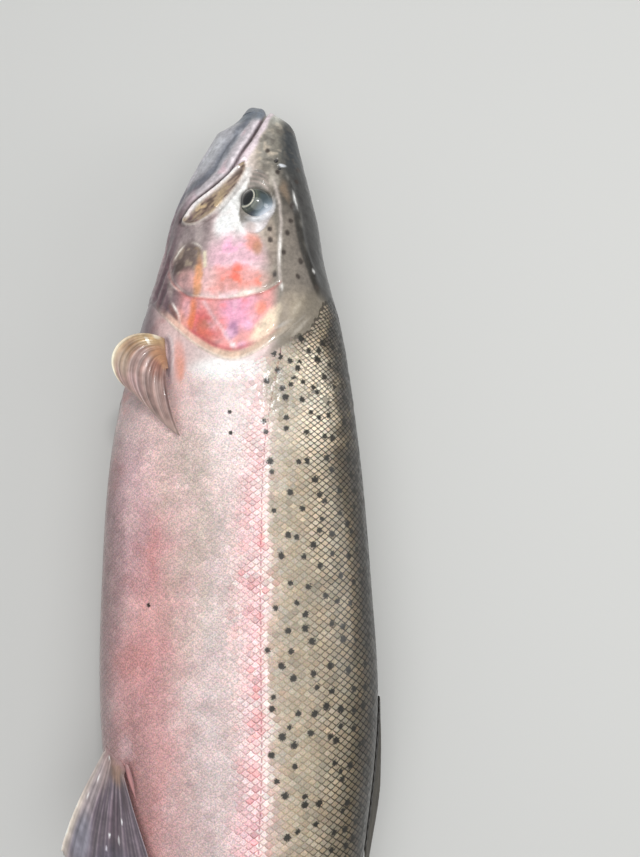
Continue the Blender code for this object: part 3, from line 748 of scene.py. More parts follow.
    dab((240, 162, 98), 0.62, (120, -22.5), (15, 3.0), -3, (0, 0.6))
    # painted highlights along the crests of the folds on the cheek, with painted shade beside them; the GLEAM
    # line is a painted highlight too
    for line, thick in ((GILL_FOLD, 0.75), (LOWER_FOLD, 0.7), (RIM_FOLD, 0.8)):
        d, share = near_line(along, up, line)
        shine = (0.50 + 0.6 * coarse) * ends_fade(share, 0.2, 0.2)
        wash((240, 232, 220), shine * hump(d, 0, thick))
        wash((72, 56, 52), 0.25 * hump(d, -2.2, 1.2) * ends_fade(share, 0.1, 0.1))
    d, share = near_line(along, up, GLEAM)
    wash((250, 242, 206), 0.9 * hump(d, 0, 1.1) * ends_fade(share, 0.15, 0.15))
    dab((172, 156, 142), 0.7, (98, 21), (18, 3.2), 4)

    # the gill cover
    d, share = near_line(along, up, CHEEK_EDGE, reach=45)
    behind = step_up(d, 0.0, 1.5) * step_up(along, 116, 124)
    wash((234, 152, 150), 0.85 * behind * step_down(up + coarse, 19, 27) * step_up(up, -38, -28))
    wash((238, 166, 198), 0.85 * blot(along, up + coarse, (141, 3), (13, 13)) * behind)
    dab((240, 164, 168), 0.7 * behind, (143, 13), (9, 6))
    dab((210, 98, 98), 0.75 * behind * step_up(coarse + grain, -0.9, 0.1), (151, -17), (13, 10), 24, (1.5, 0))
    dab((178, 98, 70), 0.6 * behind, (151, -18.5), (6, 4), 0, (1, 1))
    dab((178, 130, 178), 0.65 * behind, (153, -1), (6.5, 3.5), -10, (1, 1))
    dab((240, 134, 100), 0.6 * behind, (139.5, 15), (5, 3.5), 0, (1, 1))
    flush = step_up(coarse + 0.6 * grain, 0.1, 0.9) * blot(along, up, (137, -2), (30, 26))
    wash((226, 104, 96), 0.40 * flush)
    dab((250, 214, 226), 0.35 * step_up(-coarse + 0.5 * grain, 0.2, 0.9), (137, -2), (30, 26))
    streak = blot(along + coarse, up + grain, (150, 18.5), (15, 5.6), -36)
    wash((246, 230, 198), 0.85 * np.maximum(streak, blot(along, up, (140, 26.5), (5, 2.5))))
    for middle in ((155, -3), (163, 5), (150, 8)):
        dab((232, 180, 208), 0.75, middle, (3.6, 3.6))
    dab((222, 118, 100), 0.6, (156, -17), (10, 5), 30)
    dab((238, 132, 72), 0.6, (143, -25.5), (12, 2.6), -4, (0, 0.6))
    dab((244, 188, 194), 0.7, (139, -29), (7, 3.4))
    dab((248, 176, 160), 0.8, (150, -31), (13, 4), 12)
    d, share = near_line(along, up, REAR_FOLD)
    # painted highlight on the fold's crest and painted shade beside it
    wash((246, 236, 228), (0.7 + 0.5 * coarse) * hump(d, 0, 0.75) * ends_fade(share, 0.2, 0.2))
    wash((120, 84, 76), 0.7 * hump(d, -2.2, 1.4) * ends_fade(share, 0.1, 0.1))
    d, share = near_line(along, up, CHEEK_EDGE, reach=45)
    dab((140, 127, 113), 0.9, (141, 31), (15, 6.5))
    # painted highlight along the free edge of the cheek plate, brightest part way down
    seam_highlight = 0.30 + 0.75 * hump(up, 5, 8) + 0.45 * coarse
    wash((252, 236, 222), seam_highlight * hump(d, -0.4, 0.55 + 1.1 * hump(up, 6, 7)) * ends_fade(share, 0.03, 0.15))
    wash((190, 112, 104), 0.45 * hump(d, 1.1, 0.7) * ends_fade(share, 0.03, 0.15))
    d, share = near_line(along, up, PLATE_SEAM)
    wash((248, 220, 224), (0.6 + 0.2 * coarse) * hump(d, 0.8, 1.2) * ends_fade(share))
    wash((206, 124, 118), 0.25 * hump(d, -1.4, 0.9) * ends_fade(share))
    dab((255, 250, 250), 0.8, (163, 0), (3.0, 1.6), 30)

    # the bony rear edge of the gill cover
    rear = along - gill_edge(points[:, 1]) / MM
    rim = step_up(rear + 0.8 * coarse, -7.2, -4.2) * (rear < 0.2) * band(up, -52, -40, 24, 36)
    wash((212, 188, 162), 0.85 * rim)
    wash((246, 196, 180), 0.7 * rim * step_down(up, -24, -8))
    wash((150, 138, 124), 0.5 * rim * step_up(up, 12, 24))
    wash((176, 84, 88), 0.6 * hump(rear, -6.6, 1.3) * band(up, -34, -22, 6, 14))
    wash((240, 228, 214), 0.75 * step_up(rear, -2.8, -0.4) * (rear < 0.2) * step_down(up, 22, 34)
         * step_up(up, -50, -38))
    # faint painted shade just behind the gill cover's lip
    wash((216, 198, 188), 0.6 * (rear > 0) * step_down(rear, 0.9, 2.4) * step_down(np.abs(up + 10), 34, 44))
    # painted highlights on the top of the gill cover
    dab((250, 248, 244), 0.8, (138.5, 36.5), (4.5, 2.0), -30)
    dab((214, 208, 202), 0.6, (148, 30), (8, 1.4), -58)

    # the throat, darkened by painted shade on the side that faces up, paler underneath
    throat = step_up(-up, 40 - 3 * step_up(along, 118, 132), 46) * step_up(along + 3 * coarse, 74, 100)
    throat = throat * step_down(rear, -5 - 12 * step_up(-up, 46, 54), 2)
    # painted shade over the throat, weaker underneath
    wash((92, 72, 78), 0.80 * throat * (1 - 0.75 * step_up(-height, 0.88, 1.0)))
    wash((196, 180, 178), 0.75 * throat * step_up(-height, 0.90, 1.0))
    fan = np.sin(((along - 60) * 0.33 + up) * 2 * math.pi / 5.4)
    wash((172, 150, 150), 0.5 * throat * step_up(fan, 0.25, 0.95))
    dab((214, 208, 204), 0.6 * throat, (145, -52), (9, 7))

    # the lower jaw, the lips and the jaw bone
    d, share = near_line(along, up, MOUTH, reach=45)
    jaw_end = along + 6 * coarse - 0.2 * np.maximum(-up - 38, 0)
    jaw = step_up(-d, 0.0, 1.0) * step_down(share, 0.80, 0.999) * step_down(jaw_end, 52, 86)
    wash((180, 181, 186), 0.9 * jaw * step_down(along, 44, 62))
    wash((112, 112, 119), 0.85 * jaw * step_up(along, 44, 62))
    wash((74, 74, 82), 0.85 * jaw * step_up(along, 50, 66) * step_up(-up, 33, 42))
    # pale lower jaw below the groove: partly its own colour, partly a painted highlight
    dab((204, 206, 211), 0.6 * jaw, (30, -19), (16, 7), -34)
    wash((192, 186, 190), 0.55 * jaw * step_up(-height + 0.1 * coarse, 0.78, 1.0))
    # painted shade along the groove of the lower jaw
    wash((106, 110, 119), 0.85 * jaw * hump(-d, 11.0 + 1.5 * coarse, 3.0))
    wash((196, 188, 192), 0.95 * jaw * step_down(-d, 5.5 + coarse, 8.5) * step_up(along, 7, 12))
    wash((232, 222, 226), 0.8 * jaw * step_down(-d, 1.5 + grain, 4.0) * step_up(along, 7, 12))
    wash((212, 176, 184), 0.5 * jaw * step_up(coarse, 0.1, 0.6) * step_down(-d, 5, 9))
    wash((110, 117, 126), 0.9 * jaw * step_down(along, 6, 11))
    lip_width = 4.0 + 1.0 * hump(along, 38, 18) + 0.8 * coarse
    wash((232, 216, 221), 0.95 * band(d, 0.2, 1.0, lip_width, lip_width + 2)
         * (share < 0.62))
    wash((222, 184, 194), 0.6 * band(d, 0.2, 1.0, 1.5, 3.5) * (share < 0.62)
         * step_up(grain + coarse, 0, 0.6))
    blade, _ = near_line(along, up, JAW_BLADE, closed=True)
    on_blade = step_up(blade, 0.0, 1.0)
    streaked = np.stack([0.21 * (along - up), 0.7 * (along + up), 0 * up], axis=-1)
    marbling = mottling(streaked * MM, 1.3 * MM, 35)
    rearward = step_up(along, 58, 74)
    wash((146, 124, 108), 0.95 * step_up(blade, -0.4, 0.5))
    wash((92, 74, 66), 0.75 * on_blade * step_up(marbling, 0.05, 0.5))
    wash((186, 164, 132), 0.70 * on_blade * step_up(-marbling, 0.2, 0.6))
    wash((98, 72, 78), 0.6 * on_blade * rearward * step_up(coarse + 0.5 * grain, 0.1, 0.6))
    # painted highlights: golden glints on the rear of the jaw bone
    wash((236, 206, 160), 0.85 * on_blade * rearward * step_up(-coarse - 0.6 * grain, 0.35, 0.7))
    wash((238, 230, 222), 0.75 * hump(blade, 0.3, 0.6) * step_up(along, 46, 52))
    rim, share = near_line(along, up, JAW_BLADE_RIM)
    # the bone's white rim: partly its own colour, partly a painted highlight
    wash((255, 250, 248), 0.98 * hump(rim + 0.5 * grain, 1.4, 2.3) * step_up(blade, -1.6, -0.2)
         * ends_fade(share, 0.02, 0.1))
    wash((232, 196, 196), 0.4 * hump(rim, 0.6, 1.6) * step_up(blade, -1.6, -0.2)
         * step_up(grain + coarse, 0.1, 0.6) * ends_fade(share, 0.05, 0.1))
    # painted shade in the furrow round the jaw bone
    wash((92, 78, 72), 0.35 * hump(blade, -1.4, 1.3) * step_up(along, 50, 56) * (along < 83))
    # painted shade in the crease of the mouth
    wash((58, 48, 52), 0.85 * hump(d, -0.2, 0.9) * step_up(along, 6, 12))

    # spots, nostrils darkened by painted shade, and the flap between them with a painted highlight
    for middle in SMALL_SPOTS_ON_HEAD:
        wash(HEAD_SPOT_COLOUR, 0.85 * blot(along + 0.8 * grain, up, middle, (2.0, 1.6)))
    # painted shade in the nostril pits
    for middle, size in (((40.3, 22.4), 1.4), ((45.6, 24.6), 1.1)):
        dab((30, 27, 28), 0.95, middle, (size, size))
    # painted highlight on the flap between the nostrils
    dab((228, 232, 238), 0.9, (43.6, 26.2), (1.3, 2.6))
    return paint.shaded(0.06 * coarse + 0.08 * grain + 0.06 * mottling(points, 1.2 * MM, 36))


def body_colours(points):
    """Painted colours of any points (along, up, side) on the body, before the dark spots."""
    rear = points[:, 0] - gill_edge(points[:, 1])
    trunk = trunk_colours(points)
    fore = points[:, 0] < 0.215
    colour = trunk.copy()
    if fore.any():
        head = head_colours(points[fore])
        above = step_up(points[fore, 1], 0.024, 0.038)
        below = step_up(-points[fore, 1], 0.044, 0.056)
        edge = step_up(rear[fore], -1.0 * MM, 1.4 * MM)
        edge = edge * (1 - above) + above * step_up(points[fore, 0], 0.118, 0.142)
        edge = edge * (1 - below) + below * step_up(points[fore, 0], 0.150, 0.186)
        along, up, left = points[fore, 0] / MM, points[fore, 1] / MM, points[fore, 2] > 0
        grain = mottling(points[fore], 2.5 * MM, 9)
        paint = Painting(head * (1 - edge[:, None]) + trunk[fore] * edge[:, None], along, up, grain, grain)
        wash, dab = paint.wash, paint.dab
        dab((168, 158, 142), 0.8 * edge, (186, 26), (26, 11), 6)
        nape, shoulder = blot(along, up, (146, 42), (22, 8), -24), blot(along, up, (158, 30), (12, 5), -50)
        wash((122, 114, 102), 0.75 * np.maximum(nape, shoulder))
        dab((196, 188, 176), 0.5, (150, 38), (9, 1.3), -40)
        # white behind the gills: partly its own silver, partly a painted reflection
        dab((250, 248, 245), 0.9 * edge, (175.5, -4), (7, 24))
        dab((226, 164, 152), 0.8 * edge, (171, -31.8), (15, 4.2), 6)
        dab((228, 150, 116), 0.35 * edge * left, (175, -31.2), (8, 2.4), 6, (1, 1))
        d, share = near_line(along, up, CHEST_CREASE)
        # painted shade in the crease at the root of the pectoral fin
        wash((120, 102, 108), 0.85 * hump(d, 0, 1.3) * ends_fade(share, 0.1, 0.3) * left)
        wash((212, 202, 204), 0.7 * hump(d, 2.2, 0.7) * ends_fade(share, 0.1, 0.4) * left)
        colour[fore] = paint.colour
    return colour


def markings(points):
    """Linear colours of any points on the body, with the dark spots that begin behind the gills."""
    carried = step_up(points[:, 0], 0.176, 0.186)
    return to_linear(lay(body_colours(points), SPOT_COLOUR, 0.96 * spot_shade(points) * carried))


class Recipe:
    """Short ways to add nodes to a tree. Where a value may go, so may another node's output."""

    def __init__(self, tree):
        self.tree = tree

    def fill(self, node, inputs):
        for name, value in inputs.items():
            if isinstance(value, bpy.types.NodeSocket):
                self.tree.links.new(value, node.inputs[name])
            else:
                node.inputs[name].default_value = value
        return node.outputs

    def add(self, kind, inputs, **settings):
        node = self.tree.nodes.new(kind)
        for name, value in settings.items():
            setattr(node, name, value)
        return self.fill(node, inputs)

    def stored(self, attribute, output="Fac"):
        return self.add("ShaderNodeAttribute", {}, attribute_name=attribute)[output]

    def noise(self, scale, detail, roughness=0.5):
        place = self.add("ShaderNodeTexCoord", {})["Object"]
        inputs = {"Vector": place, "Scale": scale, "Detail": detail, "Roughness": roughness}
        return self.add("ShaderNodeTexNoise", inputs)

    def between(self, value, start, end, low=0.0, high=1.0, kind="SMOOTHSTEP"):
        inputs = {"Value": value, "From Min": start, "From Max": end, "To Min": low, "To Max": high}
        return self.add("ShaderNodeMapRange", inputs, interpolation_type=kind)["Result"]

    def values(self, kind, first, second=0.0):
        return self.add("ShaderNodeMath", {0: first, 1: second}, operation=kind)["Value"]

    def vectors(self, kind, first, second, output="Vector"):
        inputs = {0: first, "Scale" if kind == "SCALE" else 1: second}
        return self.add("ShaderNodeVectorMath", inputs, operation=kind)[output]

    def towards(self, amount, start, end):
        """From one colour to the other, by the amount."""
        step = self.vectors("SCALE", self.vectors("SUBTRACT", end, start), amount)
        return self.vectors("ADD", start, step)

    def weaken(self, factor, amount):
        """A factor brought nearer to 1, the more so the smaller the amount."""
        return self.values("ADD", 1.0, self.values("MULTIPLY", self.values("SUBTRACT", factor, 1.0), amount))

    def bump(self, height, strength, distance):
        inputs = {"Height": height, "Strength": strength, "Distance": distance}
        return self.add("ShaderNodeBump", inputs)["Normal"]


def new_finish(name):
    """A new material, its shader, and the recipe for its nodes."""
    made = bpy.data.materials.new(name)
    made.use_nodes = True
    return made, made.node_tree.nodes["Principled BSDF"], Recipe(made.node_tree)


def wet_skin():
    """Wet skin: painted colour under a clear layer of slime, with a fine grain."""
    made, shader, recipe = new_finish("wet_skin")
    grain = recipe.noise(560, 4, 0.62)["Fac"]
    shade = recipe.between(grain, 0.30, 0.70, 0.85, 1.15, "LINEAR")
    pits = recipe.noise(900, 4)["Fac"]
    recipe.fill(shader, {
        "Base Color": recipe.vectors("SCALE", recipe.stored("tone", "Color"), shade),
        "Normal": recipe.bump(pits, 0.25, 0.0003),
        "Roughness": recipe.between(grain, 0.0, 1.0, 0.32, 0.55, "LINEAR"),
        "IOR": 1.38,
        "Coat Weight": 0.6,
        "Coat Roughness": 0.08,
        "Coat IOR": 1.36,
    })
    return made


MAP_MARGIN = 0.02  # round the flat map


def on_flat_map(across, lengthwise):
    """Places on the flat map from shares round the body and along it."""
    return MAP_MARGIN + (1 - 2 * MAP_MARGIN) * np.stack([across, lengthwise], axis=-1)


def length_share(along):
    return (along - CHIN_TIP) / (FLESH_END - CHIN_TIP)


def unwrap_skin(mesh, rows, columns):
    """A flat map of the skin: round the body across, and along it upwards."""
    corners = read(mesh.loops, "vertex_index", kind=int)
    ring, column = corners // columns, corners % columns
    starts = read(mesh.polygons, "loop_start", kind=int)
    face = np.repeat(np.arange(len(starts)), read(mesh.polygons, "loop_total", kind=int))
    highest = np.maximum.reduceat(column, starts)[face]
    across = np.where((column == 0) & (highest == columns - 1), columns, column) / columns
    uv = on_flat_map(across, length_share(skin_rings())[np.minimum(ring, rows - 1)])
    mesh.uv_layers.new(name="OFBake").data.foreach_set("uv", uv.ravel())


SKIN = skin_grid()
rings, columns = SKIN.shape[:2]
chin = np.array([[CHIN_TIP, CHIN_UP, 0.0]])
tail_end = SKIN[-1].mean(0, keepdims=True)
all_points = np.concatenate([SKIN.reshape(-1, 3), chin, tail_end])
skin = new_piece("skin", to_frame(all_points), closed_grid_faces(rings, columns), wet_skin())
store(skin.data, "tone", markings(all_points))
unwrap_skin(skin.data, rings, columns)
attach(skin, "root")
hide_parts("head", "lower_jaw", "gill_cover_left", "gill_cover_right", "upper_jaw_bone_left",
            "upper_jaw_bone_right", "trunk_front", "trunk_rear", "tail_stem")

# ---------------------------------------------------------------------------------------------
# The scales. Thin oval plates of bone, set in rows in pockets of the skin and lapped like tiles,
# each over the roots of the next ones towards the tail. They start behind the gill covers.
# ---------------------------------------------------------------------------------------------
FIRST_SCALES = 0.122  # along, of the foremost column
COLUMN_STEP = 1.95 * MM  # along the body, from one column of scales to the next, staggered one
ROW_STEP = 5.4 * MM  # round the body, from one row to the next
SCALE_LENGTH, SCALE_WIDTH = 6.6 * MM, 6.5 * MM
SCALE_LIFT = 0.15 * MM  # of the free rear edge above the root
SCALE_DOME = 0.20 * MM  # of the middle above the sides
SCALE_THICKNESS = 0.07 * MM
SCALE_SINK = 0.30 * MM  # of the root under the surface of the skin
MOST_SCALES_IN_A_PIECE = 5200
SCALED_FROM = [(-70, 148), (-60, 158), (-46, 172), (-36, 184), (-25, 178), (-10, 176), (0, 175), (5, 174),
               (15, 170), (21, 169), (23.5, 167), (29.5, 163), (35, 158), (38.5, 155), (43, 151.5),
               (46, 148), (49, 141), (52, 134.5), (55, 129.5), (70, 122)]


def grid_rim(rows, columns):
    """The points round the edge of a grid, in order."""
    rim = list(range(columns)) + [i * columns + columns - 1 for i in range(1, rows)]
    rim += [(rows - 1) * columns + j for j in range(columns - 2, -1, -1)]
    return rim + [i * columns for i in range(rows - 2, 0, -1)]


def scale_shape():
    """One scale, lying along X with its root at the origin, as a thin closed plate."""
    half = SCALE_WIDTH / 2
    outline = [(-0.50, 0.60), (-0.12, 0.95), (0.14, 0.92), (0.36, 0.46)]  # shares of length and half width
    shares = (-1.0, -0.5, 0.0, 0.5, 1.0)
    top = []
    for place, wide in outline:
        for share in shares:
            bow = 0.14 * (1 - share * share) * max(place, 0) / 0.36
            y = share * wide * half
            z = SCALE_LIFT * (place / 0.5) - SCALE_DOME * (y / half) ** 2
            top.append(((place + bow) * SCALE_LENGTH, y, z))
    rows, columns = len(outline), len(shares)
    corners = [i * columns + j for i in range(rows - 1) for j in range(columns - 1)]
    faces = [(a, a + columns, a + columns + 1, a + 1) for a in corners]
    rim = grid_rim(rows, columns)
    faces += [(here, there, len(top)) for here, there in zip(rim, rim[1:] + rim[:1])]
    vertices = top + [(0.0, 0.0, -SCALE_THICKNESS - 0.6 * SCALE_DOME)]
    mesh = bpy.data.meshes.new("one_scale")
    mesh.from_pydata(vertices, [], faces)
    mesh.update()
    mesh.shade_smooth()
    mesh.set_sharp_from_angle(angle=math.radians(50))
    local = mesh.uv_layers.new(name="OnScale")
    for loop in mesh.loops:
        x, y, _ = vertices[loop.vertex_index]
        local.data[loop.index].uv = (x / SCALE_LENGTH + 0.5, y / SCALE_WIDTH + 0.5)
    return new_object("one_scale", mesh)


def scale_size(along):
    """Scales are a little smaller at the nape and at the tail."""
    places = [0.12, 0.18, 0.22, 0.29, 0.50, 0.64, FLESH_END]
    return smooth_curve(places, [0.68, 0.76, 0.89, 1.0, 1.0, 0.84, 0.70], along)


def scale_roots():
    """Place, facing, lie, turn and pore of every scale. Every other column is half a row lower."""
    chance = np.random.default_rng(5)
    columns_at = [FIRST_SCALES]
    while columns_at[-1] < FLESH_END - 4 * MM:
        columns_at.append(columns_at[-1] + COLUMN_STEP * float(scale_size(columns_at[-1])))
    dense = np.linspace(0, 2 * math.pi, 721)
    half_way = len(dense) // 2
    left, right = slice(0, half_way + 1), slice(None, half_way - 1, -1)
    found = []
    for number, along in enumerate(columns_at):
        ring = section(np.full(dense.shape, along), dense)
        ahead = section(np.full(dense.shape, along + 0.5 * MM), dense)
        girth = np.concatenate([[0], np.cumsum(np.linalg.norm(np.diff(ring, axis=0), axis=1))])
        pitch = ROW_STEP * float(scale_size(along))
        line_up = float(lateral_line(along / MM)) * MM
        shift = 0.5 * (number % 2)

        def at(places, values):
            return np.stack([np.interp(places, girth, values[:, k]) for k in range(3)], axis=-1)

        for flank in (left, right):
            level = np.interp(-line_up, -ring[flank, 1], girth[flank])
            ends = sorted((girth[flank][0], girth[flank][-1]))
            first = math.ceil((ends[0] - level) / pitch - shift)
            last = math.floor((ends[1] - level) / pitch - shift)
            rows = np.arange(first, last + 1) + shift
            places = level + rows * pitch + chance.normal(0, 0.025, len(rows)) * pitch
            root, onward = at(places, ring), at(places, ahead - ring)
            facing = np.cross(onward, at(places + 0.3 * MM, ring) - root)
            facing *= np.sign((facing * root * [0, 1, 1]).sum(1))[:, None]
            turn = np.interp(places, girth, dense)
            found.append(np.column_stack([root, facing, onward, turn, np.abs(rows) < 0.3]))
    table = np.concatenate(found)
    along, up = table[:, 0], table[:, 1]
    edge = smooth_curve(*zip(*SCALED_FROM), up / MM) * MM
    behind_gills = along > np.maximum(edge, gill_edge(up) * (up < 0.034) + 0.002)
    lobes = np.abs(up - 0.002) / 0.045
    on_tail = along < TAIL_ROOT + (4.5 + 9.5 * lobes**2) * MM
    return table[behind_gills & on_tail]


def scale_finish():
    """A scale: painted colour, tinted rear rim, a painted highlight in its middle, fine speckle, and its
    share of a dark spot.
    """
    made, shader, recipe = new_finish("wet_scales")
    values, vectors, between, stored = recipe.values, recipe.vectors, recipe.between, recipe.stored
    white = (1.0, 1.0, 1.0)
    local = recipe.add("ShaderNodeUVMap", {}, uv_map="OnScale")["UV"]
    place = recipe.add("ShaderNodeSeparateXYZ", {"Vector": local})
    across = values("ABSOLUTE", values("SUBTRACT", place["Y"], 0.5))
    to_rear = values("ADD", place["X"], values("MULTIPLY", across, 0.66))
    fine = recipe.noise(1150, 3, 0.65)
    chroma = vectors("SUBTRACT", fine["Color"], (0.5, 0.5, 0.5))

    colour = vectors("SCALE", stored("tone", "Color"), stored("luck"))
    speckle = recipe.weaken(between(fine["Fac"], 0.34, 0.66, 0.82, 1.20), stored("speckle"))
    colour = vectors("SCALE", colour, speckle)
    colour = vectors("MULTIPLY", colour, vectors("ADD", vectors("SCALE", chroma, 0.6), white))
    rim = between(to_rear, 0.86, 0.96)
    colour = vectors("MULTIPLY", colour, recipe.towards(rim, white, stored("rim_tint", "Color")))
    # a painted highlight in the middle of each scale, darker round it
    off_middle = values("ABSOLUTE", values("SUBTRACT", place["X"], 0.68))
    shares = (values("DIVIDE", off_middle, 0.20), values("DIVIDE", across, 0.30))
    off_highlight = values("ADD", *(values("POWER", share, 1.35) for share in shares))
    highlight_dot = recipe.weaken(between(off_highlight, 1.35, 0.75, 0.34, 1.75), stored("dotted"))
    colour = vectors("SCALE", colour, highlight_dot)
    tube = values("MULTIPLY", between(across, 0.10, 0.04), between(place["X"], 0.84, 0.72))
    tube = values("MULTIPLY", tube, stored("pore"))
    colour = vectors("MULTIPLY", colour, recipe.towards(tube, white, (0.62, 0.44, 0.46)))
    from_spot = vectors("ADD", stored("from_spot", "Vector"), vectors("SCALE", chroma, 2.0))
    spot = between(vectors("LENGTH", from_spot, (0.0, 0.0, 0.0), "Value"), 1.25, 0.70, 0.0, 0.97)
    spot_colour = tuple(float(c) for c in to_linear(np.array(SPOT_COLOUR)))
    recipe.fill(shader, {
        "Base Color": recipe.towards(spot, colour, spot_colour),
        "Roughness": between(stored("luck"), 0.8, 1.15, 0.5, 0.28),
        "IOR": 1.38,
        "Coat Weight": 0.35,
        "Coat Roughness": 0.10,
        "Coat IOR": 1.33,
    })
    return made


def lapping_tree(scale_object, finish):
    """Sets one scale on every root, turned to its facing and lie, then joins them as one mesh."""
    tree = bpy.data.node_groups.new("lapped_scales", "GeometryNodeTree")
    recipe = Recipe(tree)
    given = {"Scale": ("Object", scale_object), "Size": ("Float", 1.0), "Finish": ("Material", finish)}
    tree.interface.new_socket("Roots", in_out="INPUT", socket_type="NodeSocketGeometry")
    values = {}
    for name, (kind, value) in given.items():
        socket = tree.interface.new_socket(name, in_out="INPUT", socket_type="NodeSocket" + kind)
        values[socket.identifier] = value
    tree.interface.new_socket("Scales", in_out="OUTPUT", socket_type="NodeSocketGeometry")
    inputs = recipe.add("NodeGroupInput", {})

    def stored(attribute, kind):
        return recipe.add("GeometryNodeInputNamedAttribute", {"Name": attribute}, data_type=kind)["Attribute"]

    axes = {"Primary Axis": stored("facing", "FLOAT_VECTOR"), "Secondary Axis": stored("lie", "FLOAT_VECTOR")}
    turned = recipe.add("FunctionNodeAxesToRotation", axes, primary_axis="Z", secondary_axis="X")
    placed = recipe.add("GeometryNodeInstanceOnPoints", {
        "Points": inputs["Roots"],
        "Instance": recipe.add("GeometryNodeObjectInfo", {"Object": inputs["Scale"]})["Geometry"],
        "Rotation": turned["Rotation"],
        "Scale": recipe.values("MULTIPLY", stored("size", "FLOAT"), inputs["Size"]),
    })
    joined = recipe.add("GeometryNodeRealizeInstances", {"Geometry": placed["Instances"]})
    painting = {"Geometry": joined["Geometry"], "Material": inputs["Finish"]}
    recipe.add("NodeGroupOutput", {"Scales": recipe.add("GeometryNodeSetMaterial", painting)["Geometry"]})
    return tree, values


def seat_scales(root, facing, lie):
    """Each root in the frame, low in the skin, with the scale's facing and lie there."""
    aside = np.cross(facing, lie)

    def seated(points):
        near_gills = step_down(points[:, 0], 0.190, 0.215)
        relief = np.where(near_gills > 0, head_relief(points) * near_gills, 0.0) - SCALE_SINK / MM
        return to_frame(points + facing * (relief * MM)[:, None], -1.0)

    seats = seated(root)
    lie_world = seated(root + lie) - seated(root - lie)
    out = np.cross(lie_world, seated(root + aside) - seated(root - aside))
    in_flesh = root + facing * -SCALE_SINK
    out[middle_height(in_flesh[:, 0]) + in_flesh[:, 2] < 0.0] = (0, 0, -1.0)
    seats[:, 2] = np.maximum(seats[:, 2], 0.25 * MM)
    return seats, out, lie_world


def scale_looks(root, luck, chance):
    """What is stored for the finish of each scale, and its own colour and tint."""
    height = measures(root)[2] + 0.06 * mottling(root, 12 * MM, 12)
    in_band = hump(height, 0.18, 0.11)
    on_back = step_up(height, 0.24, 0.34)
    by_gills = step_down(root[:, 0], 0.186, 0.215) * step_down(height, 0.22, 0.36)
    rim_tint = np.tile(np.array((0.94, 0.90, 0.90)), (len(root), 1))
    for part, tint in ((in_band, (0.64, 0.50, 0.50)), (on_back, (0.84, 0.82, 0.77))):
        rim_tint = rim_tint * (1 - part[:, None]) + part[:, None] * tint
    rim_tint = rim_tint * (1 - 0.6 * step_up(height, 0.46, 0.70))[:, None]
    # where the scales carry a painted highlight in their middles
    dotted = 0.9 * step_up(height + 0.14 * step_down(root[:, 0], 0.24, 0.33), 0.56, 0.86)
    dotted += 0.12 * band(height, 0.27, 0.42, 0.56, 0.80)
    blush = chance.uniform(-0.06, 0.14, len(root))
    whiter = chance.uniform(size=len(root))
    greener = chance.uniform(-1, 1, len(root)) * on_back
    patterned = np.maximum(in_band, on_back)
    tint = np.ones((len(root), 3))
    tint[:, 1:] -= (blush * (0.25 + 0.75 * in_band))[:, None]
    # painted highlights: a few scales made brighter, more of them in the band and on the back
    tint *= 1 + 0.13 * (whiter < 0.12 * (0.2 + 0.8 * patterned))[:, None]
    tint += greener[:, None] * (0.045, 0.0, -0.05)
    in_rows = in_band * step_up(root[:, 0], 0.20, 0.27)
    serrated = hump(height, 0.232, 0.022) * step_up(root[:, 0], 0.20, 0.26)
    colour = body_colours(root)
    colour = lay(colour, (250, 234, 230), 0.75 * in_rows * step_up(whiter, 0.42, 0.62))
    colour = lay(colour, (226, 142, 140), 0.55 * in_rows * step_down(whiter, 0.10, 0.26))
    colour = lay(colour, (252, 246, 238), 0.9 * serrated)
    looks = {
        "size": scale_size(root[:, 0]),
        "luck": 1 + luck * (0.35 + 0.65 * patterned),
        "rim_tint": 1 - (1 - rim_tint) * (1 - 0.6 * by_gills)[:, None],
        "dotted": np.clip(dotted, 0, 1),
        "speckle": (1.15 - 0.45 * step_up(height, 0.10, 0.24)) * (1 - 0.5 * by_gills),
    }
    return looks, colour, tint


def nearest_spots(root, lie):
    """Middle, in the frame, and size of the dark spot nearest to the part of each scale that shows."""
    middles = np.array([section(np.array([a * MM]), np.array([t]))[0] for a, t, _, _ in SPOTS])
    sizes = np.array([spot[2] for spot in SPOTS]) * MM
    visible = root + lie * (0.9 * MM / np.linalg.norm(lie, axis=1, keepdims=True))
    gaps = np.linalg.norm(visible[:, None] - middles[None], axis=-1) - sizes
    closest = gaps.argmin(1)
    return to_frame(middles[closest], -1.0), sizes[closest]


def lapped(points, looks, tree, values):
    """The scales on some of the roots, as one mesh object."""
    mesh = bpy.data.meshes.new("roots")
    mesh.from_pydata(points.tolist(), [], [])
    for name, stored in looks.items():
        store(mesh, name, stored, vectors=name in ("facing", "lie", "on_map"))
    roots = new_object("roots", mesh)
    laid = roots.modifiers.new("lapped", "NODES")
    laid.node_group = tree
    for identifier, value in values.items():
        laid[identifier] = value
    bpy.context.view_layer.update()
    graph = bpy.context.evaluated_depsgraph_get()
    joined = bpy.data.meshes.new_from_object(roots.evaluated_get(graph))
    bpy.data.objects.remove(roots)
    return joined


